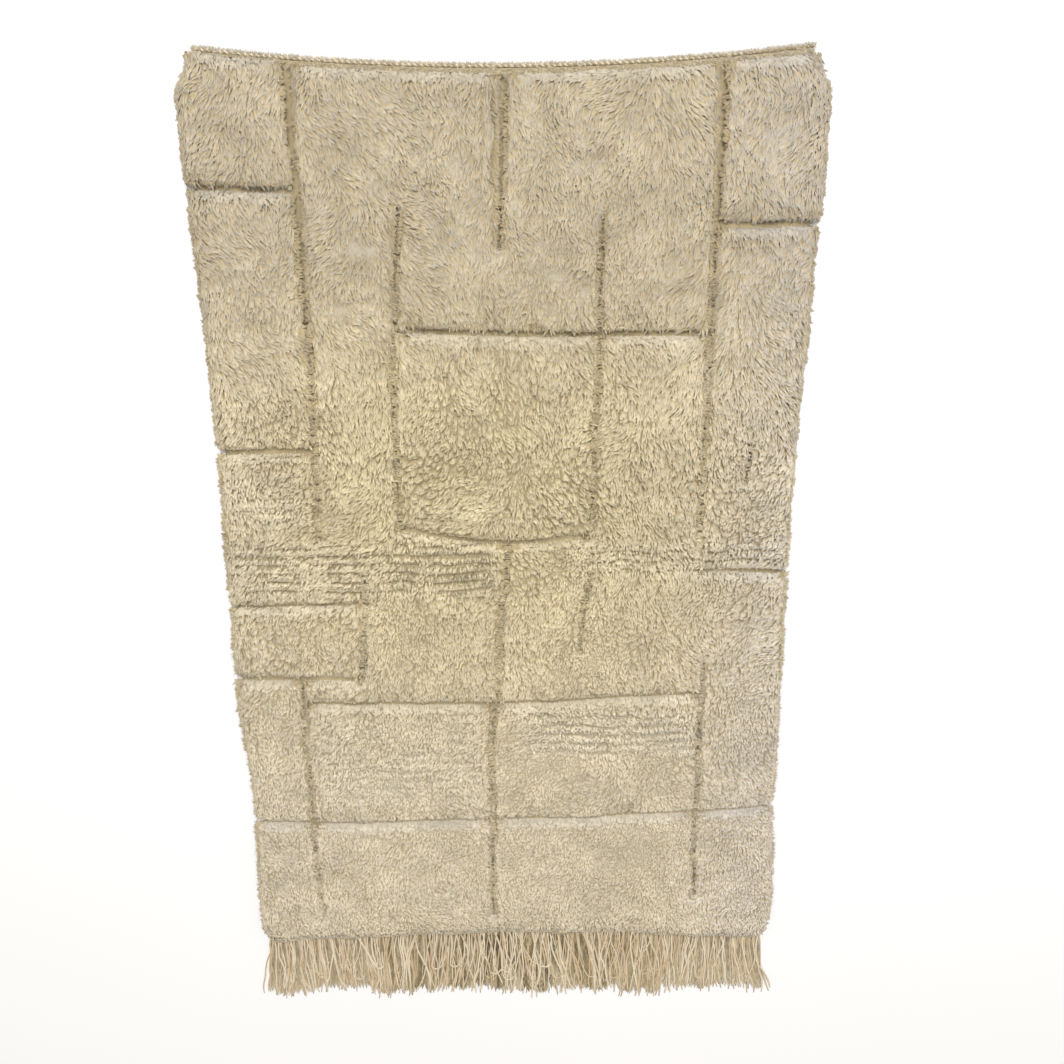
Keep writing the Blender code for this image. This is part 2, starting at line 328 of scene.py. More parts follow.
def rim_reach(x, y):
    """How far each place lies inside the pile's outline, at its sides and fringed end."""
    side = half_width(x, y) - np.abs(x)
    end = y - end_arc(x, FRINGED_END, FRINGED_END_RISE)
    return inside_corner(side, end, FRINGED_CORNER_RADIUS)


def pile_top(x, y):
    """The height of the pile's lumpy top."""
    small = LUMP_LENGTH * SMALL_LUMP_SHARE
    lumps = uneven(x / LUMP_LENGTH, y / LUMP_LENGTH) + uneven(x / small, y / small, 1.0)
    return PILE_HEIGHT + LUMP_HEIGHT * lumps


middle_of_rug = np.array([0.0])
print("pile's height at the middle, m:", pile_top(middle_of_rug, middle_of_rug).round(4))

# %% [markdown]
# ## The channels
#
# Each channel runs from a start to an end and bows a little. On the photograph
# they divide the pile in plain rectangles, a layout that weavers have long used.
# They could be drawn as curves and cut out, but the wool only asks how far away
# the nearest wall is. So each channel is a bent box, and the distance to it is
# below 0 inside and grows away from its walls.

# %% List the channels
Channel = namedtuple("Channel", "name x0 y0 x1 y1 bow width0 width1")
PAST_RIM = 0.53
CHANNELS = (
    Channel("left_long", -0.330, 0.850, -0.326, 0.090, 0.003, 0.015, 0.009),
    Channel("left_rim_1", -PAST_RIM, 0.672, -0.331, 0.664, 0.0, 0.012, 0.012),
    Channel("left_rim_2", -PAST_RIM, 0.250, -0.326, 0.250, 0.0, 0.015, 0.015),
    Channel("left_rim_3", -PAST_RIM, -0.030, -0.245, -0.025, 0.0, 0.012, 0.010),
    Channel("left_rim_4", -PAST_RIM, -0.165, -0.267, -0.168, 0.0, 0.015, 0.013),
    Channel("left_inner", -0.169, 0.640, -0.187, 0.112, -0.010, 0.009, 0.010),
    Channel("top_middle", 0.001, 0.850, -0.012, 0.570, 0.0, 0.013, 0.010),
    Channel("right_inner", 0.152, 0.626, 0.138, 0.100, 0.004, 0.010, 0.009),
    Channel("right_long", 0.334, 0.850, 0.324, 0.034, 0.003, 0.014, 0.009),
    Channel("right_rim_1", 0.333, 0.612, PAST_RIM, 0.612, 0.0, 0.014, 0.014),
    Channel("right_rim_2", 0.325, 0.032, PAST_RIM, 0.033, -0.002, 0.010, 0.012),
    Channel("right_short", 0.409, 0.260, 0.402, 0.190, 0.0, 0.007, 0.007),
    Channel("across_upper", -0.180, 0.450, 0.334, 0.442, -0.004, 0.013, 0.012),
    Channel("across_middle", -0.187, 0.114, 0.139, 0.098, -0.017, 0.014, 0.014),
    Channel("left_step", -0.254, 0.033, -0.268, -0.168, 0.0, 0.008, 0.010),
    Channel("middle_short", 0.140, 0.032, 0.121, -0.120, 0.0, 0.008, 0.008),
    Channel("middle_upper", -0.003, 0.088, -0.029, -0.216, 0.0, 0.010, 0.011),
    Channel("across_lower", -0.373, -0.214, 0.338, -0.199, -0.010, 0.013, 0.012),
    Channel("middle_lower", -0.030, -0.216, -0.038, -0.672, -0.006, 0.012, 0.011),
    Channel("left_lower", -0.374, -0.168, -0.371, -0.672, -0.003, 0.011, 0.010),
    Channel("right_lower", 0.345, -0.136, 0.345, -0.632, -0.005, 0.009, 0.009),
    Channel("across_last", -PAST_RIM, -0.458, PAST_RIM, -0.433, -0.013, 0.013, 0.012),
)
run_lengths = {c.name: math.hypot(c.x1 - c.x0, c.y1 - c.y0) for c in CHANNELS}
print("channels:", len(CHANNELS), "with a length of", round(sum(run_lengths.values()), 2), "m")
print("the longest is", max(run_lengths, key=run_lengths.get))

# %% Measure the distance to a channel
CHANNEL_STEP = 0.060
WANDER = 0.0025
WANDER_LENGTH = 0.090
EDGE_WANDER = 0.0015
EDGE_WANDER_LENGTH = 0.070


def one_channel_reach(row, channel, x, y):
    """How far each place is from this channel's walls, below 0 between them."""
    run_x = channel.x1 - channel.x0
    run_y = channel.y1 - channel.y0
    length = math.hypot(run_x, run_y)
    steps = max(2, round(length / CHANNEL_STEP))
    share = np.linspace(0.0, 1.0, steps + 1)
    rows = np.full_like(share, row)
    middle = channel.bow * 4.0 * share * (1.0 - share)
    middle += WANDER * uneven(share * length / WANDER_LENGTH, rows)
    half = (channel.width0 + (channel.width1 - channel.width0) * share) / 2.0
    low = half + EDGE_WANDER * uneven(share * length / EDGE_WANDER_LENGTH, rows, -1.0)
    high = half + EDGE_WANDER * uneven(share * length / EDGE_WANDER_LENGTH, rows, 1.0)
    along = ((x - channel.x0) * run_x + (y - channel.y0) * run_y) / length
    across = ((y - channel.y0) * run_x - (x - channel.x0) * run_y) / length
    off = across - np.interp(along / length, share, middle)
    past_high = off - np.interp(along / length, share, high)
    past_low = -off - np.interp(along / length, share, low)
    wall = np.maximum(past_high, past_low)
    end = np.maximum(-along, along - length)
    outside = np.hypot(np.maximum(wall, 0.0), np.maximum(end, 0.0))
    return outside + np.minimum(np.maximum(wall, end), 0.0)


def channel_reach(x, y):
    """How far each place is from the nearest channel or the bare heading, and its width."""
    reach = end_arc(x, PILE_TOP_END + TUFTS_PAST_END, CORDED_END_RISE) - y
    reach += np.interp(x, CORNER_TUFTS_PLACES, CORNER_TUFTS_THERE)
    reach += WANDER * uneven(x / EDGE_WANDER_LENGTH, np.zeros_like(x))
    width = np.ones_like(x)
    for row, channel in enumerate(CHANNELS):
        own = one_channel_reach(row, channel, x, y)
        width = np.where(own < reach, (channel.width0 + channel.width1) / 2.0, width)
        reach = np.minimum(reach, own)
    return reach, width


middle_reach = channel_reach(middle_of_rug, middle_of_rug)[0]
print("from the rug's middle to a channel, m:", middle_reach.round(4))

# %% [markdown]
# ## Maps of the plan
#
# A couple of hundred thousand locks all ask where the nearest edge is and how high
# the wool stands. Rays cast on the solid could tell, slowly and in coarse steps.
# Here the answers are worked out once, on a grid of samples, and then read back
# between the samples, as from a map. The slope of a map comes from its
# neighbouring samples. One more map says how open each channel is: wool hangs
# over the wide ones, and leaves the narrow ones as thin dark lines.

# %% Sample the reach and the channels' widths on a grid
MAP_STEP = 0.0015
MAP_X = (-0.546, 0.546)
MAP_Y = (-0.786, 0.906)
NARROW_WIDTHS = (0.0055, 0.0100)

map_x = np.arange(*MAP_X, MAP_STEP)
map_y = np.arange(*MAP_Y, MAP_STEP)
grid_x, grid_y = (sheet.ravel() for sheet in np.meshgrid(map_x, map_y))


def as_map(values):
    """Samples in the order of the grid, laid out by row and column."""
    return values.reshape(map_y.size, map_x.size)


def look_up(sheet, x, y):
    """Read a map at many places, blending the four samples round each."""
    column = np.clip((x - MAP_X[0]) / MAP_STEP, 0.0, map_x.size - LAST_STEP)
    row = np.clip((y - MAP_Y[0]) / MAP_STEP, 0.0, map_y.size - LAST_STEP)
    left, low = column.astype(int), row.astype(int)
    share_x, share_y = column - left, row - low
    lower = sheet[low, left] * (1.0 - share_x) + sheet[low, left + 1] * share_x
    upper = sheet[low + 1, left] * (1.0 - share_x) + sheet[low + 1, left + 1] * share_x
    return lower * (1.0 - share_y) + upper * share_y


def unit(vectors):
    """Vectors with a length of 1."""
    return vectors / np.maximum(np.linalg.norm(vectors, axis=1, keepdims=True), TINY)


channel_map, width_map = (as_map(values) for values in channel_reach(grid_x, grid_y))
open_map = np.interp(width_map, NARROW_WIDTHS, (0.0, 1.0))
rim_map = as_map(rim_reach(grid_x, grid_y))
reach_map = np.minimum(channel_map, rim_map)
rise_y, rise_x = np.gradient(reach_map, MAP_STEP)
away_x = rise_x / np.maximum(np.hypot(rise_x, rise_y), TINY)
away_y = rise_y / np.maximum(np.hypot(rise_x, rise_y), TINY)
print("samples in a map:", reach_map.size)

# %% [markdown]
# ## Parted rows
#
# The knots sit in rows. Where a rug has been rolled, or where its wool changes
# direction, the rows part and long dark cracks line up. Each parting is a patch of
# the plan with a pitch: mostly across the rug, and in two places along it. One
# faint parting covers everything. Counting rows in this way is simpler than a
# real row for every line of knots, and noise bends the cracks and breaks them up.

# %% Part the rows
Parting = namedtuple("Parting", "x0 x1 y0 y1 pitch down strength")
PARTINGS = (
    Parting(-0.60, 0.60, -0.80, 0.90, 0.0088, False, 0.25),
    Parting(-0.49, -0.02, -0.016, 0.096, 0.0160, False, 1.0),
    Parting(0.10, 0.49, 0.020, 0.098, 0.0170, False, 0.7),
    Parting(0.00, 0.34, -0.330, -0.225, 0.0175, False, 0.9),
    Parting(-0.36, -0.05, -0.430, -0.230, 0.0185, False, 0.5),
    Parting(-0.49, -0.34, 0.110, 0.225, 0.0180, False, 0.6),
    Parting(-0.17, 0.13, 0.115, 0.170, 0.0150, False, 0.5),
    Parting(-0.045, 0.004, 0.560, 0.830, 0.0190, True, 0.9),
    Parting(-0.025, 0.045, 0.130, 0.420, 0.0170, True, 0.6),
)
PARTING_EASE = 0.020
PARTING_WOBBLE = 0.0055
PARTING_WOBBLE_LENGTH = 0.060
PARTING_JAG = 0.0012
PARTING_JAG_LENGTH = 0.014
PARTING_PATCH = 0.045
PATCH_SWING = 0.9
CALM_PLACES = (-0.62, -0.35, 0.22, 0.54)
CALM_THERE = (0.55, 0.92, 1.12, 0.50)
RuffledMiddle = namedtuple("RuffledMiddle", "x y width length more")
RUFFLED = RuffledMiddle(-0.02, 0.25, 0.15, 0.22, 0.65)


def calmed(x, y):
    """How much the wool is ruffled: least near the corded end, most at the middle."""
    off = ((x - RUFFLED.x) / RUFFLED.width) ** 2 + ((y - RUFFLED.y) / RUFFLED.length) ** 2
    return np.interp(y, CALM_PLACES, CALM_THERE) * (1.0 + RUFFLED.more * np.exp(-off))


def partings_at(x, y):
    """Each parting, its strength at these places, and how far past a crack they are."""
    wobble = PARTING_WOBBLE * uneven(x / PARTING_WOBBLE_LENGTH, y / PARTING_WOBBLE_LENGTH, 6.0)
    wobble += PARTING_JAG * uneven(x / PARTING_JAG_LENGTH, y / PARTING_JAG_LENGTH, 19.0)
    patch = 1.0 + PATCH_SWING * uneven(x / PARTING_PATCH, y / PARTING_PATCH, 14.0)
    found = []
    for parting in PARTINGS:
        to_sides = np.minimum(x - parting.x0, parting.x1 - x)
        to_ends = np.minimum(y - parting.y0, parting.y1 - y)
        inside = np.clip(np.minimum(to_sides, to_ends) / PARTING_EASE, 0.0, 1.0)
        strength = inside * parting.strength * np.clip(patch, 0.0, 1.0)
        past = ((x if parting.down else y) + wobble) / parting.pitch % 1.0
        found.append((parting, strength, past))
    return found


print("partings:", len(PARTINGS))

# %% [markdown]
# ## The surface that the wool's tips make
#
# Cut wool falls over at an edge, so each block has a soft shoulder. On the side
# that faces the corded end it is wide and low, because the wool there leans back
# into the block. On the other sides it is steeper and ends in a small wall. At the
# rim the outer locks hang down to the floor. Between its edges each block is a
# slack pillow with lumps, and each parted row is a low step. A sculpted mesh could
# hold all this, but a map of heights is smooth, and every lock can ask it for the
# level and the slope at its place.

# %% Shape the shoulders
SHOULDER = 0.0075
SHOULDER_DROP = 0.0050
BACK_SHOULDER = 0.0150
BACK_SHOULDER_DROP = 0.0145
FRONT_PUFF = 0.0070
SIDE_PUFF_PLACES = (-0.10, 0.42, 0.66)
SIDE_PUFF_THERE = (0.0046, 0.0040, 0.0010)
ROW_LUMP = 0.0019
ROW_LUMP_LENGTHS = (0.040, 0.017)
RIM_SHOULDER = 0.0160
RIM_SHOULDER_DROP = 0.0140
PILLOW_BAND = 0.034
PILLOW_DROP = 0.0026
DROOP = 0.8
STEEPEST = 0.9
ROW_STEP = 0.0021
BACK_NARROWEST = 10


def shoulder(reach, width, drop):
    """How far a shoulder falls, as a quarter ellipse that ends at reach 0."""
    short = 1.0 - np.clip(reach / width, 0.0, 1.0)
    return drop * (1.0 - np.sqrt(1.0 - short * short))


def least_beside(sheet, samples):
    """The least value of a map within this many samples to the left and right."""
    shifts = range(-samples, samples + 1, 2)
    return np.minimum.reduce([np.roll(sheet, shift, axis=1) for shift in shifts])


print("shoulders, m:", SHOULDER, "and at the back:", BACK_SHOULDER)

# %% Add up the surface's heights
front = np.clip(away_y, 0.0, 1.0)
back = least_beside(np.clip(-away_y, 0.0, 1.0), BACK_NARROWEST)
side_puff = as_map(np.interp(grid_y, SIDE_PUFF_PLACES, SIDE_PUFF_THERE)) * open_map
puff = FRONT_PUFF * front + side_puff * (1.0 - np.abs(away_y))
lumps = uneven(grid_x / ROW_LUMP_LENGTHS[0], grid_y / ROW_LUMP_LENGTHS[1], 16.0)
height_map = as_map(pile_top(grid_x, grid_y) + ROW_LUMP * lumps * calmed(grid_x, grid_y))
for parting, strength, past in partings_at(grid_x, grid_y):
    if not parting.down:
        height_map -= as_map(ROW_STEP * strength * past**2 * calmed(grid_x, grid_y))
height_map -= shoulder(
    channel_map + puff,
    SHOULDER + (BACK_SHOULDER - SHOULDER) * back,
    SHOULDER_DROP + (BACK_SHOULDER_DROP - SHOULDER_DROP) * back,
)
height_map -= shoulder(rim_map, RIM_SHOULDER, RIM_SHOULDER_DROP)
height_map -= PILLOW_DROP * (1.0 - np.clip(reach_map / PILLOW_BAND, 0.0, 1.0)) ** 2
height_map -= DROOP * np.maximum(-reach_map - puff, 0.0)
slope_y, slope_x = np.gradient(height_map, MAP_STEP)


def outward_of(x, y):
    """The direction that the surface faces at each place."""
    tilt_x, tilt_y = look_up(slope_x, x, y), look_up(slope_y, x, y)
    steep = np.maximum(np.hypot(tilt_x, tilt_y), STEEPEST) / STEEPEST
    return unit(np.column_stack([-tilt_x / steep, -tilt_y / steep, np.ones(x.size)]))


print("height of the tips, m:", height_map[reach_map > PILLOW_BAND].min().round(4), "and up")

# %% [markdown]
# ## Where the locks grow
#
# Knots sit in rows, but the wool springs out of them unevenly. Blender's hair
# could scatter it, but wholly random places leave bald spots. A grid whose points
# are each pushed about at random is dense everywhere and never in line. A second,
# finer grid fills the shoulders, where the surface is steep, and the places of
# that grid that lie on a wall get locks that hang down it.

# %% Spread the roots
ROOT_SPACING = 0.0031
EDGE_SPACING = 0.0027
EDGE_BAND = 0.0080
EDGE_MARGIN = 0.0006
WALL_BAND = 0.0018
WALL_LEAST = 0.0080
BACK_MARGIN = 0.0028
SIDE_MARGIN_THERE = (0.0038, 0.0034, 0.0010)
JITTER = 0.42
FRONT_RIM_SHADE = 0.2
FRONT_RIM_BAND = 0.004
GRID_HALF_WIDTH = 0.53
GRID_ENDS = (-0.76, 0.88)
ROOT_SEED = 7
chance = np.random.default_rng(ROOT_SEED)


def jittered_grid(spacing):
    """A grid of places over the whole rug, each pushed about at random."""
    across = np.arange(-GRID_HALF_WIDTH, GRID_HALF_WIDTH, spacing)
    along = np.arange(*GRID_ENDS, spacing)
    x, y = (sheet.ravel() for sheet in np.meshgrid(across, along))
    x = x + spacing * chance.uniform(-JITTER, JITTER, x.size)
    y = y + spacing * chance.uniform(-JITTER, JITTER, y.size)
    return x, y, look_up(reach_map, x, y)


by_channel = rim_map > channel_map
back_map = np.where(by_channel, back, 0.0)
# The rim at the fringed end, where painted shade tans the tips that hang over it.
front_rim = np.clip(FRONT_RIM_SHADE - reach_map / FRONT_RIM_BAND, 0.0, 1.0)
front_rim *= np.where(by_channel, 0.0, front)
past_wall = as_map(np.interp(grid_y, SIDE_PUFF_PLACES, SIDE_MARGIN_THERE)) * open_map
past_wall = np.where(by_channel, past_wall * (1.0 - np.abs(away_y)), 0.0)
past_wall += BACK_MARGIN * back_map
x, y, reach = jittered_grid(ROOT_SPACING)
margin = EDGE_MARGIN - look_up(past_wall, x, y)
main = np.stack([x, y])[:, reach > margin]
x, y, reach = jittered_grid(EDGE_SPACING)
facing_back = look_up(back_map, x, y)
margin = EDGE_MARGIN - look_up(past_wall, x, y)
edge = np.stack([x, y])[:, (reach > margin) & (reach < EDGE_BAND)]
on_wall = (np.abs(reach) < WALL_BAND) & (facing_back < 0.5)
wall = np.stack([x, y])[:, on_wall & (look_up(height_map, x, y) > WALL_LEAST)]
print("roots on top:", main.shape[1], "on shoulders:", edge.shape[1], "on walls:", wall.shape[1])

# %% [markdown]
# ## Which way the wool lies
#
# The rug has hung by its corded end, so its wool has fallen towards the fringe,
# in drifts that turn a little left and right. Near the corded end it lies flat
# and smooth, and near the fringe it stands up more and shows its tips. At an edge
# some locks follow the drift and the others point out over the channel. A comb
# brush could lay it by hand. Broad noise, read as an angle, does it in a few
# lines, and the same way each time.

# %% Let the wool fall
DRIFT_LENGTH = 0.150
DRIFT_TURN = 75.0
SMALL_DRIFT_LENGTH = 0.034
SMALL_DRIFT_TURN = 50.0
LOCK_TURN = 12.0
LEAN_LENGTH = 0.110
LEAN_SPREAD = 0.45
LEAN_ENDS = (-0.60, 0.40)
LEAN_AT_ENDS = (0.76, 0.98)
LEAN_LIMITS = (0.30, 1.20)
EDGE_TURN = 32.0
BACK_CALM = 0.85
FEATHER_BAND = 0.0125
FEATHER_PATCH = 0.008
FEATHER_SWING = 0.6


def fallen(x, y, reach):
    """How far the wool has fallen over, as a vector on the plan with a length near 1."""
    angle = math.radians(DRIFT_TURN) * uneven(x / DRIFT_LENGTH, y / DRIFT_LENGTH, 3.0)
    small = uneven(x / SMALL_DRIFT_LENGTH, y / SMALL_DRIFT_LENGTH, 4.0)
    angle += math.radians(SMALL_DRIFT_TURN) * small
    angle += math.radians(LOCK_TURN) * chance.normal(size=x.size)
    outwards = np.arctan2(-look_up(away_x, x, y), look_up(away_y, x, y))
    outwards += math.radians(EDGE_TURN) * chance.normal(size=x.size)
    near = 1.0 - np.clip(reach / FEATHER_BAND, 0.0, 1.0)
    near *= 1.0 - BACK_CALM * np.clip(-look_up(away_y, x, y), 0.0, 1.0)
    odds = near + FEATHER_SWING * uneven(x / FEATHER_PATCH, y / FEATHER_PATCH, 13.0)
    angle = np.where(chance.uniform(size=x.size) < odds * near, outwards, angle)
    lean = np.interp(y, LEAN_ENDS, LEAN_AT_ENDS)
    lean += LEAN_SPREAD * uneven(x / LEAN_LENGTH, y / LEAN_LENGTH, 5.0)
    lean = np.clip(lean, *LEAN_LIMITS)
    return np.stack([np.sin(angle) * lean, -np.cos(angle) * lean])


print("the wool falls towards the fringe, turned by up to", DRIFT_TURN, "degrees")

# %% [markdown]
# ## Clumps
#
# Wool sticks together by its tips. Each tip is drawn to the middle of the clump
# that it lands in, and the clump is a low dome, so that thin dark cracks open
# round it. Guide hairs could pull the wool together. Here the nearest of many
# random middles is found for each tip, as in a pattern of cells: long ones where
# the wool lies down the rug, and broad ones lower down, where it stands.

# %% Find each tip's clump
CLUMP_SIZES = (0.0095, 0.0150)
CLUMPS_ACROSS_SIZES = (0.0150, 0.0088)
CLUMPS_ACROSS_BELOW = 0.16
CLUMP_CELLS = 256
CLUMP_PULL = 0.60
MOST_PULL = 0.85
CLUMP_DOME = 0.0054
CLUMP_LOWEST = 0.0046
CLUMP_RISE = 0.0009
CRACK_LENGTH = 0.070
CRACK_RANGE = (-0.40, 0.45)
CRACK_LEAST = 0.40
CLUMP_LEAST = 0.4
ACROSS_WAVER = 0.25
CLUMP_SEED = 23
Clumps = namedtuple("Clumps", "off_x off_y size_x size_y strength trait")


def clump_of(x, y):
    """How far each place is from its clump's middle, and what that clump is like."""
    waver = ACROSS_WAVER * uneven(x / CRACK_LENGTH, y / CRACK_LENGTH, 18.0)
    turned = waver + y < CLUMPS_ACROSS_BELOW
    size_x = np.where(turned, CLUMPS_ACROSS_SIZES[0], CLUMP_SIZES[0])
    size_y = np.where(turned, CLUMPS_ACROSS_SIZES[1], CLUMP_SIZES[1])
    home_x = np.floor(x / size_x).astype(int)
    home_y = np.floor(y / size_y).astype(int)
    draw = np.random.default_rng(CLUMP_SEED)
    traits = draw.uniform(size=(CLUMP_CELLS * CLUMP_CELLS, 4))  # place x, y, strength, height
    best = np.full(x.size, np.inf)
    off_x, off_y, own = np.zeros(x.size), np.zeros(x.size), np.zeros((x.size, 4))
    for step_x in (-1, 0, 1):
        for step_y in (-1, 0, 1):
            cell_x, cell_y = home_x + step_x, home_y + step_y
            trait = traits[(cell_x + CLUMP_CELLS // 2) * CLUMP_CELLS + cell_y + CLUMP_CELLS // 2]
            try_x = x - (cell_x + trait[:, 0]) * size_x
            try_y = y - (cell_y + trait[:, 1]) * size_y
            far = np.hypot(try_x / size_x, try_y / size_y)
            nearer = far < best
            best = np.where(nearer, far, best)
            off_x = np.where(nearer, try_x, off_x)
            off_y = np.where(nearer, try_y, off_y)
            own = np.where(nearer[:, None], trait, own)
    cracked = uneven(x / CRACK_LENGTH, y / CRACK_LENGTH, 12.0)
    strength = np.interp(cracked, CRACK_RANGE, (CRACK_LEAST, 1.0))
    strength *= CLUMP_LEAST + (1.0 - CLUMP_LEAST) * own[:, 2]
    return Clumps(off_x, off_y, size_x, size_y, strength * calmed(x, y), own[:, 3])


print("clumps about", CLUMP_SIZES, "m")

# %% [markdown]
# ## How a parting moves the wool
#
# In a parted row the locks stop short at the row's crack, so each row ends in a
# small step like a roof's course. In a parting that runs down the rug the tips are
# drawn to both sides of the crack, as with a comb. Both are worked out from how
# far a tip has come from the last crack to the next.

# %% Draw the tips aside
PARTING_PULL = 0.60
PARTING_SINK = 0.0043
PARTING_EDGE = 0.33
ROW_EDGE = 0.80
ROW_PAST = 0.0006
ROW_CALM = 0.8
ROW_FLAT = 0.62
ROW_STRONG = 1.5
LEAST_FALL = 1e-5


def kept_in_row(x, y, fall):
    """The share of its fall that each lock has before its row's crack stops it."""
    share, rowed = np.ones(x.size), np.zeros(x.size)
    for parting, strength, past in partings_at(x, y):
        if not parting.down:
            room = past * parting.pitch + ROW_PAST
            kept = np.minimum(room / np.maximum(fall, LEAST_FALL), 1.0)
            caught = chance.uniform(size=x.size) < strength
            share = np.where(caught, np.minimum(share, kept), share)
            rowed = np.maximum(rowed, strength)
    return share, 1.0 - ROW_CALM * rowed


def strong_rows(x, y):
    """How strongly the rows are parted at each place, leaving out the faint parting."""
    rows = [strength for parting, strength, _ in partings_at(x, y)[1:] if not parting.down]
    return np.clip(np.maximum.reduce(rows) * ROW_STRONG, 0.0, 1.0)


def parted(x, y):
    """How far the partings draw each tip aside, and how deep it lies in a crack."""
    aside, depth = np.zeros(x.size), np.zeros(x.size)
    for parting, strength, past in partings_at(x, y):
        groove = np.clip((past - ROW_EDGE) / (1.0 - ROW_EDGE), 0.0, 1.0)
        if parting.down:
            off = past - 0.5
            aside -= off * parting.pitch * strength * PARTING_PULL
            groove = np.clip((np.abs(off) - PARTING_EDGE) / (0.5 - PARTING_EDGE), 0.0, 1.0)
        depth = np.maximum(depth, strength * groove)
    return aside, depth


print("a row's step, m:", ROW_STEP)

# %% [markdown]
# ## Laying, standing and hanging locks
#
# Each lock is three places: a root deep in the pile, a belly and a tip on the
# surface. A straight hair would look like grass, and the bend at the belly makes
# it lie like wool. A lock falls as far as its length goes, but stops a little past
# its block's edge or at its row's crack, and then its tip is drawn into its clump.
# Its tone is painted darker towards the clump's cracks, as painted shade where
# less light gets in. One number each at the root, the belly and the tip says how
# tan the wool is there: partly the wool's own tan near its root, and partly
# painted shade deep in the pile, over the channels and at the fringed rim. Two
# tuples of arrays carry all this: Laid on the plan, and Locks in space.

# %% Let each lock fall, stop and clump
DEPTH_PLACES = (-0.55, -0.10, 0.20, 0.50)
DEPTH_THERE = (0.0052, 0.0062, 0.0074, 0.0036)
REACH_THERE = (0.0120, 0.0130, 0.0130, 0.0185)
LENGTH_SPREAD = 0.30
LOCK_RISE = 0.0005
OVERHANG_PLACES = (0.45, 0.68)
OVERHANG_THERE = (0.0046, 0.0028)
FRONT_OVERHANG = 0.0090
SCALLOP = 0.0060
FRONT_SCALLOP = 0.0075
SCALLOP_LENGTH = 0.0090
OVERHANG_SPREAD = 0.0012
LEAST_ROOM = 0.0004
BACK_BAND = 0.0150
BACK_SHORT = 0.42
Laid = namedtuple("Laid", "x y plan length at_back rows off aside depth trait rise")


def room_of(x, y, reach):
    """How far each lock may reach outwards: to its edge and a little past it."""
    front = np.clip(look_up(away_y, x, y), 0.0, 1.0)
    scallop = uneven(x / SCALLOP_LENGTH, y / SCALLOP_LENGTH, 15.0)
    scallop *= SCALLOP + (FRONT_SCALLOP - SCALLOP) * front
    past = np.interp(y, OVERHANG_PLACES, OVERHANG_THERE) * look_up(open_map, x, y)
    room = np.maximum(reach, 0.0) + past + (FRONT_OVERHANG - past) * front + scallop
    return np.maximum(room + OVERHANG_SPREAD * chance.normal(size=x.size), LEAST_ROOM)


def lay(x, y):
    """Where the locks that grow at these places come to lie, and how high."""
    reach = look_up(reach_map, x, y)
    length = 1.0 + LENGTH_SPREAD * chance.uniform(-1.0, 1.0, x.size)
    at_back = look_up(back_map, x, y) * (1.0 - np.clip(reach / BACK_BAND, 0.0, 1.0))
    length *= 1.0 - BACK_SHORT * at_back
    plan = fallen(x, y, reach) * length * np.interp(y, DEPTH_PLACES, REACH_THERE)
    leaving = -(plan[0] * look_up(away_x, x, y) + plan[1] * look_up(away_y, x, y))
    plan *= np.minimum(room_of(x, y, reach) / np.maximum(leaving, LEAST_FALL), 1.0)
    in_row, loose = kept_in_row(x, y, -plan[1])
    plan *= in_row
    clumps = clump_of(x + plan[0], y + plan[1])
    aside, depth = parted(x + plan[0], y + plan[1])
    rows = strong_rows(x, y)
    pull = np.minimum(clumps.strength * CLUMP_PULL, MOST_PULL)
    plan[0] += aside - clumps.off_x * pull * (1.0 - ROW_CALM * rows)
    plan[1] -= clumps.off_y * pull * loose
    off = np.stack([clumps.off_x / clumps.size_x, clumps.off_y / clumps.size_y])
    off *= clumps.strength
    rise = CLUMP_RISE * (2.0 * clumps.trait - 1.0) - PARTING_SINK * depth
    rise -= np.minimum(CLUMP_DOME * np.hypot(*off), CLUMP_LOWEST) * loose
    rise += LOCK_RISE * calmed(x, y) * chance.normal(size=x.size)
    return Laid(x, y, plan, length, at_back, rows, off, aside, depth, clumps.trait, rise)


print("locks reach, m:", REACH_THERE)

# %% Bend the locks and give them their tones
BELLY_SHARE = 0.42
BELLY_SINK = 0.0016
DOME_SHADE = 0.70
PARTING_SHADE = 60.0
CLUMP_TONE = 0.3
OWN_TONE = 0.4
CRACK_SHADE = 0.66
PARTING_CRACK_SHADE = 0.95
OVER_BAND = 0.0040
OVER_CHANNEL_SHADE = 0.04
ROW_PALE = 0.45
BACK_DIM_PLACES = (-0.50, -0.05)
BACK_DIM_THERE = (0.40, 0.05)
BACK_LESS_SHADE = 0.70
TAN_AND_SHADE_ON_TOP = (1.0, 0.5, 0.0)
SHADE_PAST_EDGE = (0.0, 0.2, 0.3)
SHADE_AT_FRINGE_RIM = (0.0, 0.5, 0.5)
Locks = namedtuple("Locks", "root belly tip outward tone deep")


def lock_depth(y):
    """How deep the locks at y reach: least near the corded end, where they lie flat."""
    return np.interp(y, DEPTH_PLACES, DEPTH_THERE)


def bend(laid):
    """The root, the belly and the tip of each lock."""
    flat = 1.0 - ROW_FLAT * laid.rows
    root_sink = lock_depth(laid.y) * laid.length * flat
    belly_sink = BELLY_SINK * calmed(laid.x, laid.y) * flat
    places = []
    for share, sink in ((0.0, root_sink), (BELLY_SHARE, belly_sink), (1.0, 0.0)):
        x, y = laid.x + laid.plan[0] * share, laid.y + laid.plan[1] * share
        place = np.column_stack([x, y, look_up(height_map, x, y) + laid.rise])
        places.append(place - outward_of(x, y) * np.reshape(sink, (-1, 1)))
    return places


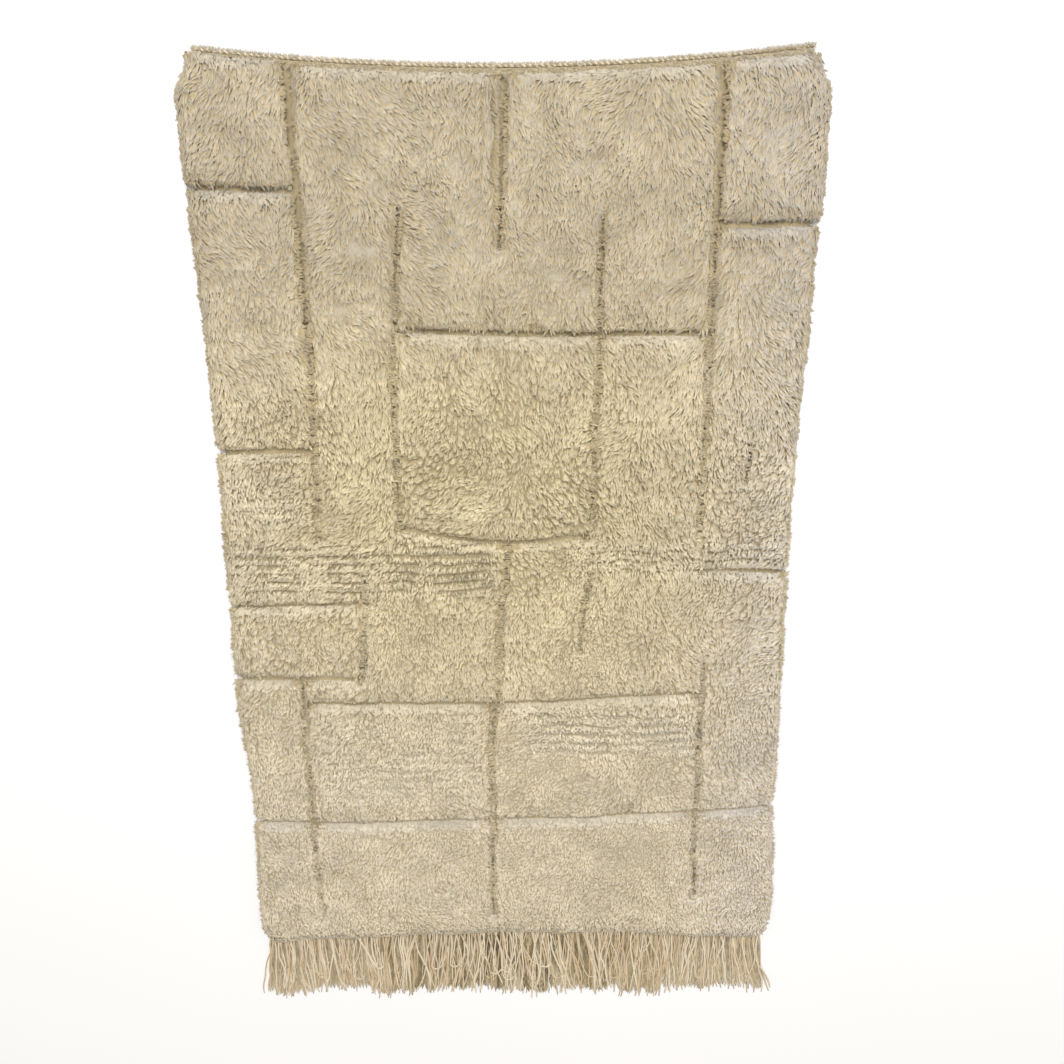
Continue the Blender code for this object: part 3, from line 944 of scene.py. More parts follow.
def stand(x, y):
    """The locks that grow at these places."""
    laid = lay(x, y)
    root, belly, tip = bend(laid)
    tip_x, tip_y = tip[:, 0], tip[:, 1]
    bent = np.column_stack([*laid.off, np.zeros(x.size)]) * DOME_SHADE
    bent[:, 0] -= laid.aside * PARTING_SHADE
    tone = 0.5 + CLUMP_TONE * (laid.trait - 0.5) + OWN_TONE * chance.uniform(-0.5, 0.5, x.size)
    # Painted shade: the tone falls at the clumps' cracks and in the partings' cracks.
    tone -= np.maximum(laid.depth * PARTING_CRACK_SHADE, CRACK_SHADE * np.hypot(*laid.off))
    # Painted shade: tips that hang past a side wall, over a channel, are darker and tanner.
    over = np.clip(-look_up(reach_map, tip_x, tip_y) / OVER_BAND, 0.0, 1.0)
    over *= 1.0 - np.abs(look_up(away_y, x, y))
    tone -= OVER_CHANNEL_SHADE * over + np.interp(y, BACK_DIM_PLACES, BACK_DIM_THERE) * laid.at_back
    # Painted shade with some of the wool's own tan: roots and bellies are tan and dark, less so
    # on edges that face the corded end and in parted rows.
    deep = np.outer(1.0 - BACK_LESS_SHADE * laid.at_back, TAN_AND_SHADE_ON_TOP)
    deep[:, 1] *= 1.0 - ROW_PALE * laid.rows
    deep += np.outer(over, SHADE_PAST_EDGE)
    # Painted shade on the tips that hang over the rim at the fringed end.
    deep += np.outer(look_up(front_rim, tip_x, tip_y), SHADE_AT_FRINGE_RIM)
    return Locks(root, belly, tip, unit(outward_of(tip_x, tip_y) + bent), tone, deep)


print("tone's fall towards a crack:", CRACK_SHADE)

# %% Hang locks down the walls
WALL_REACH = 0.0010
WALL_HEIGHTS = (0.0060, 0.0150)
WALL_OUT = (0.0002, 0.0014)
FOOT_OUT = 0.0016
WALL_ASIDE = 0.0015
WALL_FALL = 0.0060
WALL_FALLS = (0.6, 1.2)
WALL_BELLY_FALL = 0.4
WALL_TILT = 1.4
WALL_DEPTH = 0.0085
RIM_HIGH = 0.75
WALL_SHADE_TONES = (0.10, 0.50)
WALL_TONE_SPREAD = 0.3
SHADE_AT_FOOT = (1.0, 1.0, 0.8)
TAN_AND_SHADE_AT_TOP = (1.0, 0.5, 0.0)


def hang(x, y):
    """Locks that hang down the walls: darker and tan at a channel's foot as painted shade, pale
    at the rim.
    """
    away = np.column_stack([look_up(away_x, x, y), look_up(away_y, x, y)])
    place = np.column_stack([x, y]) + away * (WALL_REACH - look_up(reach_map, x, y))[:, None]
    top = look_up(height_map, *place.T)
    at_rim = look_up(rim_map, x, y) < look_up(channel_map, x, y)
    high = chance.uniform(np.where(at_rim, RIM_HIGH, 0.0), 1.0)
    level = np.minimum(np.interp(high, (0.0, 1.0), WALL_HEIGHTS), top)
    aside = np.column_stack([away[:, 1], -away[:, 0]]) * chance.normal(size=x.size)[:, None]
    past = chance.uniform(*WALL_OUT, x.size) + FOOT_OUT * (1.0 - high)
    out = aside * WALL_ASIDE - away * past[:, None]
    outward = unit(np.column_stack([-away, np.full(x.size, WALL_TILT)]))
    root = np.column_stack([place + away * WALL_DEPTH, level])
    belly = np.column_stack([place + out * BELLY_SHARE, level - WALL_FALL * WALL_BELLY_FALL])
    fall = WALL_FALL * chance.uniform(*WALL_FALLS, x.size)
    tip = np.column_stack([place + out, level - fall])
    high = np.where(at_rim, 1.0, high)
    # Painted shade: the lower a lock hangs on a channel's wall, the darker and tanner it is.
    tone = np.interp(high, (0.0, 1.0), WALL_SHADE_TONES)
    tone += WALL_TONE_SPREAD * chance.uniform(-1.0, 1.0, x.size)
    foot, top = np.array(SHADE_AT_FOOT), np.array(TAN_AND_SHADE_AT_TOP)
    return Locks(root, belly, tip, outward, tone, foot + (top - foot) * high[:, None])


groups = (stand(*np.concatenate([main, edge], axis=1)), hang(*wall))
locks = Locks(*(np.concatenate(parts) for parts in zip(*groups)))
print("locks:", len(locks.root), "highest tip, m:", locks.tip[:, 2].max().round(4))

# %% [markdown]
# ## One lock as a mesh
#
# Blender's hair curves would draw finer wool, but only real faces can leave
# Blender with the rug. So a lock is a flat blade: a point at its root, two edges
# at its belly and a point at its tip, closed by four triangles. That is enough,
# because the picture shows a lock only two pixels wide, and there are close to two
# hundred thousand. They are shaded mostly by the direction of the whole surface,
# as wool is, which scatters light between its locks. The UV map gives each lock a
# cell of its own, so that a baked colour never runs from one lock to the next.

# %% Turn each lock into a blade
LOCK_WIDTH = 0.0032
WIDTH_SPREAD = 0.35
BELLY_ROUND = 1.2
SOFTNESS = 0.78
LOCK_FACES = ((0, 2, 1), (1, 2, 3), (0, 1, 3), (2, 0, 3))
LOCK_PLACES = {0: (0.50, 0.06), 1: (0.06, 0.42), 2: (0.94, 0.42), 3: (0.50, 0.94)}
FLOOR_CLEARANCE = 0.0006
BELLY_CLEARANCE = 0.0018


def off_floor(places, clearance):
    """The same places, with those that are too low raised off the floor."""
    return np.column_stack([places[:, :2], np.maximum(places[:, 2], clearance)])


def blades(locks, width):
    """Four points for each lock, and the directions that they are shaded by."""
    count = len(locks.root)
    root = off_floor(locks.root, FLOOR_CLEARANCE)
    belly = off_floor(locks.belly, BELLY_CLEARANCE)
    tip = off_floor(locks.tip, FLOOR_CLEARANCE)
    size = width * (1.0 + WIDTH_SPREAD * chance.uniform(-1.0, 1.0, count)[:, None])
    along = unit(tip - root)
    left = unit(np.cross(locks.outward, along))
    above = np.sum((belly - root) * np.cross(along, left), axis=1, keepdims=True)
    left = np.where(above < 0.0, -left, left)
    points = [root, belly + left * size / 2.0, belly - left * size / 2.0, tip]
    up = unit(np.cross(along, left))
    shades = [up, unit(left * BELLY_ROUND + up), unit(up - left * BELLY_ROUND), unit(along + up)]
    points = np.stack(points, axis=1)
    points[:, :, 2] = np.maximum(points[:, :, 2], FLOOR_CLEARANCE)
    shades = np.stack(shades, axis=1) * (1.0 - SOFTNESS)
    shades += locks.outward[:, None] * SOFTNESS
    return points.reshape(-1, 3), unit(shades.reshape(-1, 3))


print("triangles in a lock:", len(LOCK_FACES))


# %% Join many alike in one mesh
def repeated(faces, points_each, count):
    """The faces of one thing, repeated for the others that follow it."""
    first = (np.arange(count) * points_each)[:, None, None]
    return (first + np.array(faces)[None]).reshape(-1, len(faces[0])).tolist()


def cell_places(places, columns, rows, count):
    """The corners of one thing's cell, repeated over a sheet of cells."""
    numbers = np.arange(count)
    home = np.column_stack([numbers % columns, numbers // columns])[:, None, :]
    return (home + np.array(places)[None]) / np.array([columns, rows])


def add_piece(name, points, faces, finish, node):
    """Put a mesh in the scene as a piece that rides on the rug and replaces a node."""
    mesh = bpy.data.meshes.new(name)
    mesh.from_pydata(points, [], faces)
    mesh.materials.append(finish)
    mesh.shade_smooth()
    piece = bpy.data.objects.new(name, mesh)
    bpy.context.scene.collection.objects.link(piece)
    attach(piece, "root")
    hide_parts(node)
    return piece


def add_values(piece, name, values, domain="POINT"):
    """Give each point or corner of a piece a number that its finish can read."""
    piece.data.attributes.new(name, "FLOAT", domain).data.foreach_set("value", values)


print("helpers for joined meshes are ready")

# %% Join locks as a piece
BAKE_MAP = "OFBake"
LOCK_ALONG = (0.0, 0.5, 0.5, 1.0)
LOCK_ACROSS = (0.0, 1.0, -1.0, 0.0)
LOCK_DEEP = (0, 1, 1, 2)


def join_locks(name, locks, finish, node, width=LOCK_WIDTH):
    """Join these locks in one piece, with their bake map and their tones."""
    count = len(locks.root)
    points, shades = blades(locks, width)
    piece = add_piece(name, points, repeated(LOCK_FACES, 4, count), finish, node)
    piece.data.normals_split_custom_set_from_vertices(shades)
    cells = math.ceil(math.sqrt(count))
    corners = [LOCK_PLACES[corner] for face in LOCK_FACES for corner in face]
    places = cell_places(corners, cells, cells, count)
    piece.data.uv_layers.new(name=BAKE_MAP).data.foreach_set("uv", places.ravel())
    add_values(piece, "tone", np.repeat(locks.tone, 4))
    add_values(piece, "along", np.tile(LOCK_ALONG, count))
    add_values(piece, "deep", locks.deep[:, LOCK_DEEP].ravel())
    add_values(piece, "across", np.tile(LOCK_ACROSS, count))
    return piece


print("bake map:", BAKE_MAP)

# %% [markdown]
# ## The wool's finish
#
# Undyed sheep's wool is cream: a little yellow from its grease near the rug's
# middle, greyer near its rim, paler towards the fringe. Blender has a hair shader,
# but a plain one with sheen keeps its colour when it is baked. It reads what each
# lock stores: a tone of its own, darkened as painted shade at cracks, how tan it
# is from root to tip, partly its own tan and partly painted shade, and where on
# the lock a point lies, for the fine streaks of its fibres. Sheen stands for the
# soft edge light of loose fibres.

# %% Dye the wool
CREAM = (0.785, 0.695, 0.505, 1.0)
WARM = (0.790, 0.685, 0.440, 1.0)
FLAT = (0.565, 0.498, 0.374, 1.0)
PALE = (0.835, 0.748, 0.585, 1.0)
GREY_FILTER = (0.975, 1.000, 1.120, 1.0)
FLAT_ENDS = (0.26, 0.60)
WARM_REACH = (0.10, 0.62)
PALE_ENDS = (0.14, -0.62)
TINT_PATCH = 0.16
WARM_CENTRE = (-0.07, 0.12)
WARM_STRETCH = 0.55
WARM_SPOTS = (0.8, 0.6)
PALE_SPOTS = (0.6, 0.5)
GREY_FROM = (0.06, 0.22)
GREY_LEAN = 0.60
GREY_LEAST = 0.5


def split(wire, vector):
    """The x and y of a vector, as two wires."""
    parts = wire.node("SeparateXYZ", {}, {0: vector}).socket.node
    return Wire(wire.tree, parts.outputs["X"]), Wire(wire.tree, parts.outputs["Y"])


def wool_tint(wire, place):
    """The wool's colour over the rug: warm at its middle, paler at the fringed end."""
    x, y = split(wire, place)
    off_x, off_y = x - WARM_CENTRE[0], y - WARM_CENTRE[1]
    far = (off_x * off_x + off_y * off_y * WARM_STRETCH) ** 0.5
    spots = patches(wire, place, TINT_PATCH)
    warm = (1.0 - between(far, *WARM_REACH)) * (spots * WARM_SPOTS[0] + WARM_SPOTS[1])
    pale = between(y, *PALE_ENDS) * (spots * PALE_SPOTS[0] + PALE_SPOTS[1])
    flat = between(y, *FLAT_ENDS)
    grey = between(x * x, *GREY_FROM) * (x + GREY_LEAN) * (spots + GREY_LEAST)
    tint = dyed(pale, dyed(flat, dyed(warm, CREAM, WARM), FLAT), PALE)
    return dyed(grey, tint, GREY_FILTER, "MULTIPLY")


print("wool's tints: cream, warm, flat, pale and a grey filter")

# %% Streak each lock, and paint its root tan and shaded
ROOT_TAN_AND_SHADE = (0.46, 0.345, 0.155, 1.0)
ROOT_SHARE = 0.75
ROOT_ENDS = (0.20, 0.60)
TONE_SPREAD = 0.34
STREAKS_ACROSS = 2.6
STREAKS_ALONG = 1.5
STREAK_SEED = 71.0
STREAK_ENDS = (0.30, 0.70)
STREAK_TONE = 0.30
BLOTCH_SIZE = 0.055
BLOTCH_TONE = 0.52
WOOL_ROUGHNESS = 0.86
WOOL_BUMP = 0.0005
WOOL_SHEEN = 0.25
SHEEN_ROUGHNESS = 0.5


def read_value(wire, name):
    """A number that the mesh keeps on its points."""
    return wire.node("Attribute", {"attribute_name": name}, {}, output="Fac")


def streaks_of(wire, tone):
    """Fine streaks that run along each lock, different in every one."""
    sockets = {
        "X": read_value(wire, "across") * STREAKS_ACROSS,
        "Y": read_value(wire, "along") * STREAKS_ALONG,
        "Z": tone * STREAK_SEED,
    }
    place = wire.node("CombineXYZ", {}, sockets)
    return patches(wire, place, 1.0, FINE_DETAIL)


def wool_finish(name, root_share):
    """Wool whose roots are tan to this share."""
    material, wire, shader = new_finish(name)
    tone = read_value(wire, "tone")
    streaks = streaks_of(wire, tone)
    place = object_place(wire)
    own = tone * TONE_SPREAD + (1.0 - TONE_SPREAD / 2.0)
    blotch = patches(wire, place, BLOTCH_SIZE, FINE_DETAIL) * BLOTCH_TONE
    blotch = blotch + (1.0 - BLOTCH_TONE / 2.0)
    fibre = between(streaks, *STREAK_ENDS) * STREAK_TONE + (1.0 - STREAK_TONE / 2.0)
    # The tan mixed in by the deep numbers is partly the wool's own tan and partly painted shade
    # deep in the pile.
    tan = between(read_value(wire, "deep"), *ROOT_ENDS) * root_share
    colour = shaded(dyed(tan, wool_tint(wire, place), ROOT_TAN_AND_SHADE), own * blotch * fibre)
    roughness = streaks * ROUGHNESS_SPREAD + WOOL_ROUGHNESS
    set_finish(wire, shader, colour, roughness, streaks, WOOL_BUMP)
    shader.inputs["Sheen Weight"].default_value = WOOL_SHEEN
    shader.inputs["Sheen Roughness"].default_value = SHEEN_ROUGHNESS
    return material


ivory_wool = wool_finish("ivory_wool", ROOT_SHARE)
print("wool finish:", ivory_wool.name)

# %% [markdown]
# ## Plant the locks
#
# One mesh of all the locks would be too heavy to handle, so they are joined in
# eight strips along the rug. The strips meet between locks and don't show.

# %% Join the locks in strips
STRIPS = 8
limits = np.quantile(locks.root[:, 0], np.linspace(0.0, 1.0, STRIPS + 1))
limits[-1] += 1.0
for number in range(STRIPS):
    inside = (locks.root[:, 0] >= limits[number]) & (locks.root[:, 0] < limits[number + 1])
    strip = Locks(*(values[inside] for values in locks))
    name = f"wool_locks_{number + 1}"
    join_locks(name, strip, ivory_wool, "rug_body")
    print(name, "locks:", len(strip.root))

# %% [markdown]
# ## The imported wool under the tips
#
# Deep down the pile is so dense that it is one mass. It closes the view between
# the locks and keeps the cracks between clumps dark, not empty. A copy of the
# frame's carved solid is right for it once it is drawn in by a few millimetres:
# deeper where the locks are long and where the rows part, and less at the edges
# that lean back. Its colour is a little darkened as painted shade, a shaded tan
# where cracks show it, and paler where the wool is thin.

# %% Colour the imported wool, darkened with painted shade
BED_SHADE_TONE = 0.73
BED_GRAIN_TONE = 0.35
BED_TAN_SHADE_FROM = (-0.40, -0.05)
BED_TAN_SHADE_TO = (0.52, 0.32)
BED_TAN_SHADE_SHARE = 0.50
BED_GRAIN = 0.0016
BED_ROUGHNESS = 0.88
BED_BUMP = 0.0012

bed_finish, wire, shader = new_finish("packed_wool")
place = object_place(wire)
grain = patches(wire, place, BED_GRAIN, FINE_DETAIL)
bed_y = split(wire, place)[1]
# Painted shade: the packed wool is a little darker than the locks, and a shaded tan in the rug's
# middle band, where cracks show it.
bed_tan_shade = between(bed_y, *BED_TAN_SHADE_FROM) * between(bed_y, *BED_TAN_SHADE_TO) * BED_TAN_SHADE_SHARE
bed_tint_and_shade = dyed(bed_tan_shade, wool_tint(wire, place), ROOT_TAN_AND_SHADE)
bed_colour = shaded(bed_tint_and_shade, grain * BED_GRAIN_TONE + BED_SHADE_TONE)
bed_roughness = grain * ROUGHNESS_SPREAD + BED_ROUGHNESS
set_finish(wire, shader, bed_colour, bed_roughness, grain, BED_BUMP)
print("bed's finish:", bed_finish.name)

# %% Draw the solid in under the locks
BED_PLACES = (-0.40, -0.05, 0.32, 0.50)
BED_BELOW_THERE = (0.0004, 0.0014, 0.0019, 0.0002)
BED_BELOW_ROWS = 0.0026
BED_INSET = 0.0016
BED_INSET_AT_BACK = 0.0004
BED_WALL = 0.0040
BED_FLOOR = 0.0008
BED_LOW = 0.0060

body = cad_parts["rug_body"].data
bed_points = np.array([vert.co for vert in body.vertices])
x, y = bed_points[:, 0], bed_points[:, 1]
at_wall = np.abs(look_up(reach_map, x, y)) < BED_WALL
in_channel = bed_points[:, 2] < BED_LOW
inset = BED_INSET + (BED_INSET_AT_BACK - BED_INSET) * look_up(back_map, x, y)
bed_points[:, 0] += np.where(at_wall, look_up(away_x, x, y) * inset, 0.0)
bed_points[:, 1] += np.where(at_wall, look_up(away_y, x, y) * inset, 0.0)
bed_level = look_up(height_map, *bed_points[:, :2].T) - lock_depth(y)
bed_level -= np.interp(y, BED_PLACES, BED_BELOW_THERE)
bed_level -= BED_BELOW_ROWS * strong_rows(x, y)
bed_points[:, 2] = np.maximum(np.minimum(bed_points[:, 2], bed_level), BED_FLOOR)
bed_points[in_channel, 2] = BED_FLOOR
bed_faces = [tuple(face.vertices) for face in body.polygons]
bed = add_piece("packed_wool", bed_points, bed_faces, bed_finish, "rug_body")
bed.data.shade_flat()
print("packed wool's faces:", len(bed_faces))

# %% [markdown]
# ## Loose fibres
#
# No edge of real wool is sharp, because single fibres stand off it. A soft,
# half-clear rim could be painted, but it would slide as the eye moves. Thin locks
# that point out of the edges and the rim at random soften the outline from
# everywhere.

# %% Let loose fibres stand off the edges
WISP_COUNT = 9000
WISP_WIDTH = 0.0007
WISP_DEPTH = 0.0020
WISP_LENGTHS = (0.0050, 0.0105)
WISP_LOWEST = 0.35
WISP_BEND = 0.12
WISP_UP = 0.4
WISP_OUT = 0.8
WISP_WILD = 0.55
# Roots of stray fibres: partly their own tan, partly painted shade.
TAN_AND_SHADE_OF_STRAYS = (0.5, 0.2, 0.0)


def wisps(x, y):
    """Thin fibres that stand off the wool at these places."""
    count = x.size
    away = np.column_stack([look_up(away_x, x, y), look_up(away_y, x, y), np.zeros(count)])
    outward = outward_of(x, y)
    level = look_up(height_map, x, y) * chance.uniform(WISP_LOWEST, 1.0, count)
    root = np.column_stack([x, y, level]) - outward * WISP_DEPTH
    wild = WISP_WILD * chance.normal(size=(count, 3))
    way = unit(outward * WISP_UP - away * WISP_OUT + wild)
    length = chance.uniform(*WISP_LENGTHS, count)[:, None]
    belly = root + way * length * BELLY_SHARE + outward * length * WISP_BEND
    deep = np.tile(TAN_AND_SHADE_OF_STRAYS, (count, 1))
    return Locks(root, belly, root + way * length, outward, chance.uniform(size=count), deep)


spots = np.concatenate([edge, wall], axis=1)
spots = spots[:, chance.choice(spots.shape[1], WISP_COUNT, replace=False)]
fibres = wisps(*spots)
loose_fibres = join_locks("loose_fibres", fibres, ivory_wool, "rug_body", WISP_WIDTH)
print("loose fibres:", WISP_COUNT)

# %% [markdown]
# ## The woven ground
#
# In the channels and along the heading the cloth itself shows: thick wefts over
# stretched warps, tan where the pile is cream. The cloth is one thin sheet under
# everything. It ends twelve millimetres inside the pile's outline, because the
# outer locks hang past it. Every yarn could be a tube of its own, but so little of
# the cloth shows that two waves in its finish, one along each set of yarns, draw
# the weave as well.

# %% Dye the weave
WARP_PITCH = 0.0042
WEFT_PITCH = 0.0026
WEAVE_WANDER = 0.0016
WEAVE_WANDER_PATCH = 0.012
GROUND_TAN = (0.46, 0.370, 0.200, 1.0)
GROUND_PALE = (0.52, 0.430, 0.255, 1.0)
GROUND_PATCH = 0.05
GROUND_PALE_ENDS = (0.60, 0.10)
GROUND_PATCH_SHARE = 0.6
GROUND_PLACE_SHARE = 0.7
GROUND_SHARE_LESS = 0.15
GROUND_FUZZ = 0.0009
FUZZ_SHARE = 0.25
GROUND_TONE = 0.65
RELIEF_TONE = 0.70
GROUND_ROUGHNESS = 0.85
WEAVE_BUMP = 0.0009


def waves(wire, distance, pitch):
    """A wave between 0 and 1 that repeats at this pitch."""
    return wire.maths("SINE", distance * (math.tau / pitch)) * 0.5 + 0.5


ground_finish, wire, shader = new_finish("tan_weave")
place = object_place(wire)
wander = patches(wire, place, WEAVE_WANDER_PATCH) * WEAVE_WANDER
x, y = split(wire, place)
warps = waves(wire, x + wander, WARP_PITCH)
wefts = waves(wire, y + wander, WEFT_PITCH)
weave = warps * wefts + (1.0 - warps) * (1.0 - wefts)
fuzz = patches(wire, place, GROUND_FUZZ, FINE_DETAIL)
relief = weave * (1.0 - FUZZ_SHARE) + fuzz * FUZZ_SHARE
share = patches(wire, place, GROUND_PATCH) * GROUND_PATCH_SHARE - GROUND_SHARE_LESS
share = share + between(y, *GROUND_PALE_ENDS) * GROUND_PLACE_SHARE
ground_colour = shaded(dyed(share, GROUND_TAN, GROUND_PALE), relief * RELIEF_TONE + GROUND_TONE)
ground_roughness = fuzz * ROUGHNESS_SPREAD + GROUND_ROUGHNESS
set_finish(wire, shader, ground_colour, ground_roughness, relief, WEAVE_BUMP)
print("ground's finish:", ground_finish.name)

# %% Cut the ground
GROUND_TOP = 0.0043
GROUND_BOTTOM = 0.0003
GROUND_COLUMNS = 56
GROUND_ROWS = 84
GROUND_TRIES = 4
GROUND_WAVE = 0.0003
GROUND_WAVE_LENGTH = 0.030


def ground_point(column, row):
    """One point of the ground's plan. Its x and y depend on each other, so try again."""
    share = column / GROUND_COLUMNS * 2.0 - 1.0
    x = share * half_width(np.array([share]), np.array([0.0]))[0]
    for _ in range(GROUND_TRIES):
        top = end_arc(x, CORDED_END, CORDED_END_RISE)
        bottom = end_arc(x, FRINGED_END, FRINGED_END_RISE) + PILE_OVERHANG
        y = bottom + (top - bottom) * row / GROUND_ROWS
        x = share * (half_width(np.array([share]), np.array([y]))[0] - PILE_OVERHANG)
    return x, y


plan = [ground_point(c, r) for r in range(GROUND_ROWS + 1) for c in range(GROUND_COLUMNS + 1)]
plan = np.array(plan)
lift = GROUND_WAVE * uneven(*(plan / GROUND_WAVE_LENGTH).T, 7.0)
upper = np.column_stack([plan, GROUND_TOP + lift])
lower = np.column_stack([plan, np.full(len(plan), GROUND_BOTTOM)])
wide = GROUND_COLUMNS + 1
faces = []
for row in range(GROUND_ROWS):
    for column in range(GROUND_COLUMNS):
        first = row * wide + column
        face = (first, first + 1, first + wide + 1, first + wide)
        faces.append(face)
        faces.append(tuple(len(plan) + corner for corner in reversed(face)))
rim = list(range(wide)) + [r * wide + wide - 1 for r in range(1, GROUND_ROWS + 1)]
rim += [GROUND_ROWS * wide + c for c in range(wide - 2, -1, -1)]
rim += [r * wide for r in range(GROUND_ROWS - 1, 0, -1)]
for first, after in zip(rim, rim[1:] + rim[:1]):
    faces.append((len(plan) + first, len(plan) + after, after, first))
points = np.concatenate([upper, lower])
ground = add_piece("woven_ground", points, faces, ground_finish, "rug_body")
print("ground's size, m:", plan.min(axis=0).round(3), plan.max(axis=0).round(3))

# %% [markdown]
# ## Twisted yarns
#
# The cord at one end and the fringe at the other are made of twisted yarn. A
# curve with a round bevel gives such a tube, one yarn at a time. Hundreds are made
# at once here, by carrying a ring of points along every path. The plies wind round
# the yarn, so each corner of the mesh stores how many turns the twist has made
# there, and a sine of that number shades the plies.

# %% Sweep yarns along many paths at once
YARN_SQUASH = 0.80
UP = (0.0, 0.0, 1.0)
CELL_FILL = (0.96, 0.86)
CELL_MARGIN = (0.02, 0.07)
CAP_ACROSS = (0.003, 0.017)
CAP_HEIGHT = 0.3


def path_frames(paths):
    """The direction of each path at its points, and the two directions square to it."""
    along = np.gradient(paths, axis=1)
    along /= np.linalg.norm(along, axis=2, keepdims=True)
    side = np.cross(np.array(UP), along)
    side /= np.maximum(np.linalg.norm(side, axis=2, keepdims=True), TINY)
    return along, side, np.cross(along, side)


def yarn_faces(sections, sides):
    """The corners of one yarn's faces, with their places in a cell."""
    faces, places = [], []
    for section in range(sections - 1):
        for side in range(sides):
            after = (side + 1) % sides
            low, high = section * sides, (section + 1) * sides
            faces.append((low + side, low + after, high + after, high + side))
            for step, part in ((0, 0), (0, 1), (1, 1), (1, 0)):
                places.append(((section + step) / (sections - 1), (side + part) / sides))
    return faces, np.array(places)


print("a yarn's squash:", YARN_SQUASH)


# %% Join yarns as a piece
def yarn_cells(places, sides, columns, count):
    """Where the corners of all the yarns lie on the bake map: a cell for each yarn."""
    angle = np.arange(sides) / sides * math.tau
    rows = math.ceil(count / columns)
    cap = np.column_stack([np.linspace(*CAP_ACROSS, sides), 0.5 + CAP_HEIGHT * np.sin(angle)])
    walls = cell_places(places * CELL_FILL + CELL_MARGIN, columns, rows, count)
    caps = cell_places(np.concatenate([cap, cap]), columns, rows, count)
    return np.concatenate([walls.reshape(-1, 2), caps.reshape(-1, 2)])


def twist_turns(paths, places, sides, pitch):
    """How many turns the twist has made at each corner, with none on the end caps."""
    lengths = np.linalg.norm(np.diff(paths, axis=1), axis=2).sum(axis=1)
    turns = places[None, :, 0] * (lengths / pitch)[:, None] + places[None, :, 1]
    return np.concatenate([turns.ravel(), np.zeros(2 * sides * len(paths))])


def join_yarns(name, paths, radius, tones, sides, pitch, columns, finish, node):
    """Join a tube along each path. radius and tones hold a number for each of its points."""
    count, sections = paths.shape[:2]
    along, side, up = path_frames(paths)
    angle = np.arange(sides) / sides * math.tau
    ring = side[:, :, None] * np.cos(angle)[None, None, :, None]
    ring = ring + up[:, :, None] * np.sin(angle)[None, None, :, None] * YARN_SQUASH
    points = paths[:, :, None] + ring * radius[:, :, None, None]
    points = off_floor(points.reshape(-1, 3), FLOOR_CLEARANCE)
    faces, places = yarn_faces(sections, sides)
    all_faces = repeated(faces, sections * sides, count)
    ends = [tuple(reversed(range(sides))), tuple(range((sections - 1) * sides, sections * sides))]
    all_faces += repeated(ends, sections * sides, count)
    piece = add_piece(name, points, all_faces, finish, node)
    cells = yarn_cells(places, sides, columns, count)
    piece.data.uv_layers.new(name=BAKE_MAP).data.foreach_set("uv", cells.ravel())
    add_values(piece, "turns", twist_turns(paths, places, sides, pitch), "CORNER")
    add_values(piece, "tone", np.repeat(tones.ravel(), sides))
    return piece


print("a yarn's cell fills", CELL_FILL, "of its place")

# %% Twist the yarns' finish
YARN_FUZZ = 0.0008
YARN_FUZZ_SHARE = 0.3
YARN_PATCH = 0.035
YARN_PATCH_SHARE = 0.6
YARN_TONE_SHARE = 0.5
YARN_TAN_ENDS = (0.30, 0.80)
YARN_TONE = 0.72
TWIST_SHADE = 0.40
YARN_ROUGHNESS = 0.84
YARN_SHEEN = 0.2
YARN_BUMP = 0.0005
YARN_PLIES = 2.0


def yarn_finish(name, pale, tan):
    """A twisted yarn that is pale in some places and tan in others."""
    material, wire, shader = new_finish(name)
    place = object_place(wire)
    twist = waves(wire, read_value(wire, "turns"), 1.0 / YARN_PLIES)
    fuzz = patches(wire, place, YARN_FUZZ, FINE_DETAIL)
    relief = twist * (1.0 - YARN_FUZZ_SHARE) + fuzz * YARN_FUZZ_SHARE
    patch = patches(wire, place, YARN_PATCH) * YARN_PATCH_SHARE
    share = between(patch + read_value(wire, "tone") * YARN_TONE_SHARE, *YARN_TAN_ENDS)
    # The twist's sine is painted shade in the grooves between the plies; the fuzz is the yarn's
    # own mottling.
    colour = shaded(dyed(share, pale, tan), relief * TWIST_SHADE + YARN_TONE)
    roughness = fuzz * ROUGHNESS_SPREAD + YARN_ROUGHNESS
    set_finish(wire, shader, colour, roughness, relief, YARN_BUMP)
    shader.inputs["Sheen Weight"].default_value = YARN_SHEEN
    shader.inputs["Sheen Roughness"].default_value = SHEEN_ROUGHNESS
    return material


print("plies in a yarn:", YARN_PLIES)

# %% [markdown]
# ## The cord at the corded end
#
# Where the weaving began, a cord is twined through the loops of the warp. It is
# two thick plies that wind round each other, so it shows a row of small beads,
# light and dark in turn, with short fuzz standing off it. A bump on one tube would
# look flat from the side, so both plies are real tubes, on two screws half a turn
# apart. The cord is browner at its right end, as in the photograph.

# %% Twist the cord
CORD_HALF_WIDTH = 0.474
CORD_RADIUS = 0.0028
CORD_CENTRE_PAST = 0.0036
CORD_TURN = 0.0092
CORD_STEP = 0.0012
CORD_END_IN = 0.001
PLY_RADIUS = 0.00155
PLY_OFFSET = 0.00135
PLY_SIDES = 6
CORD_LOOSE = 0.22
CORD_LOOSE_LENGTH = 0.011
CORD_SLIP = 0.9
CORD_SLIP_LENGTH = 0.05
PLY_UNEVEN = 0.18
PLY_UNEVEN_LENGTH = 0.006
PLY_PITCH = 0.0045
CORD_PALE = (0.90, 0.82, 0.62, 1.0)
CORD_BROWN = (0.50, 0.39, 0.22, 1.0)
PLY_TONES = (0.0, 1.3)
BROWN_END = (0.33, 0.40)
BROWN_END_TONE = 0.7

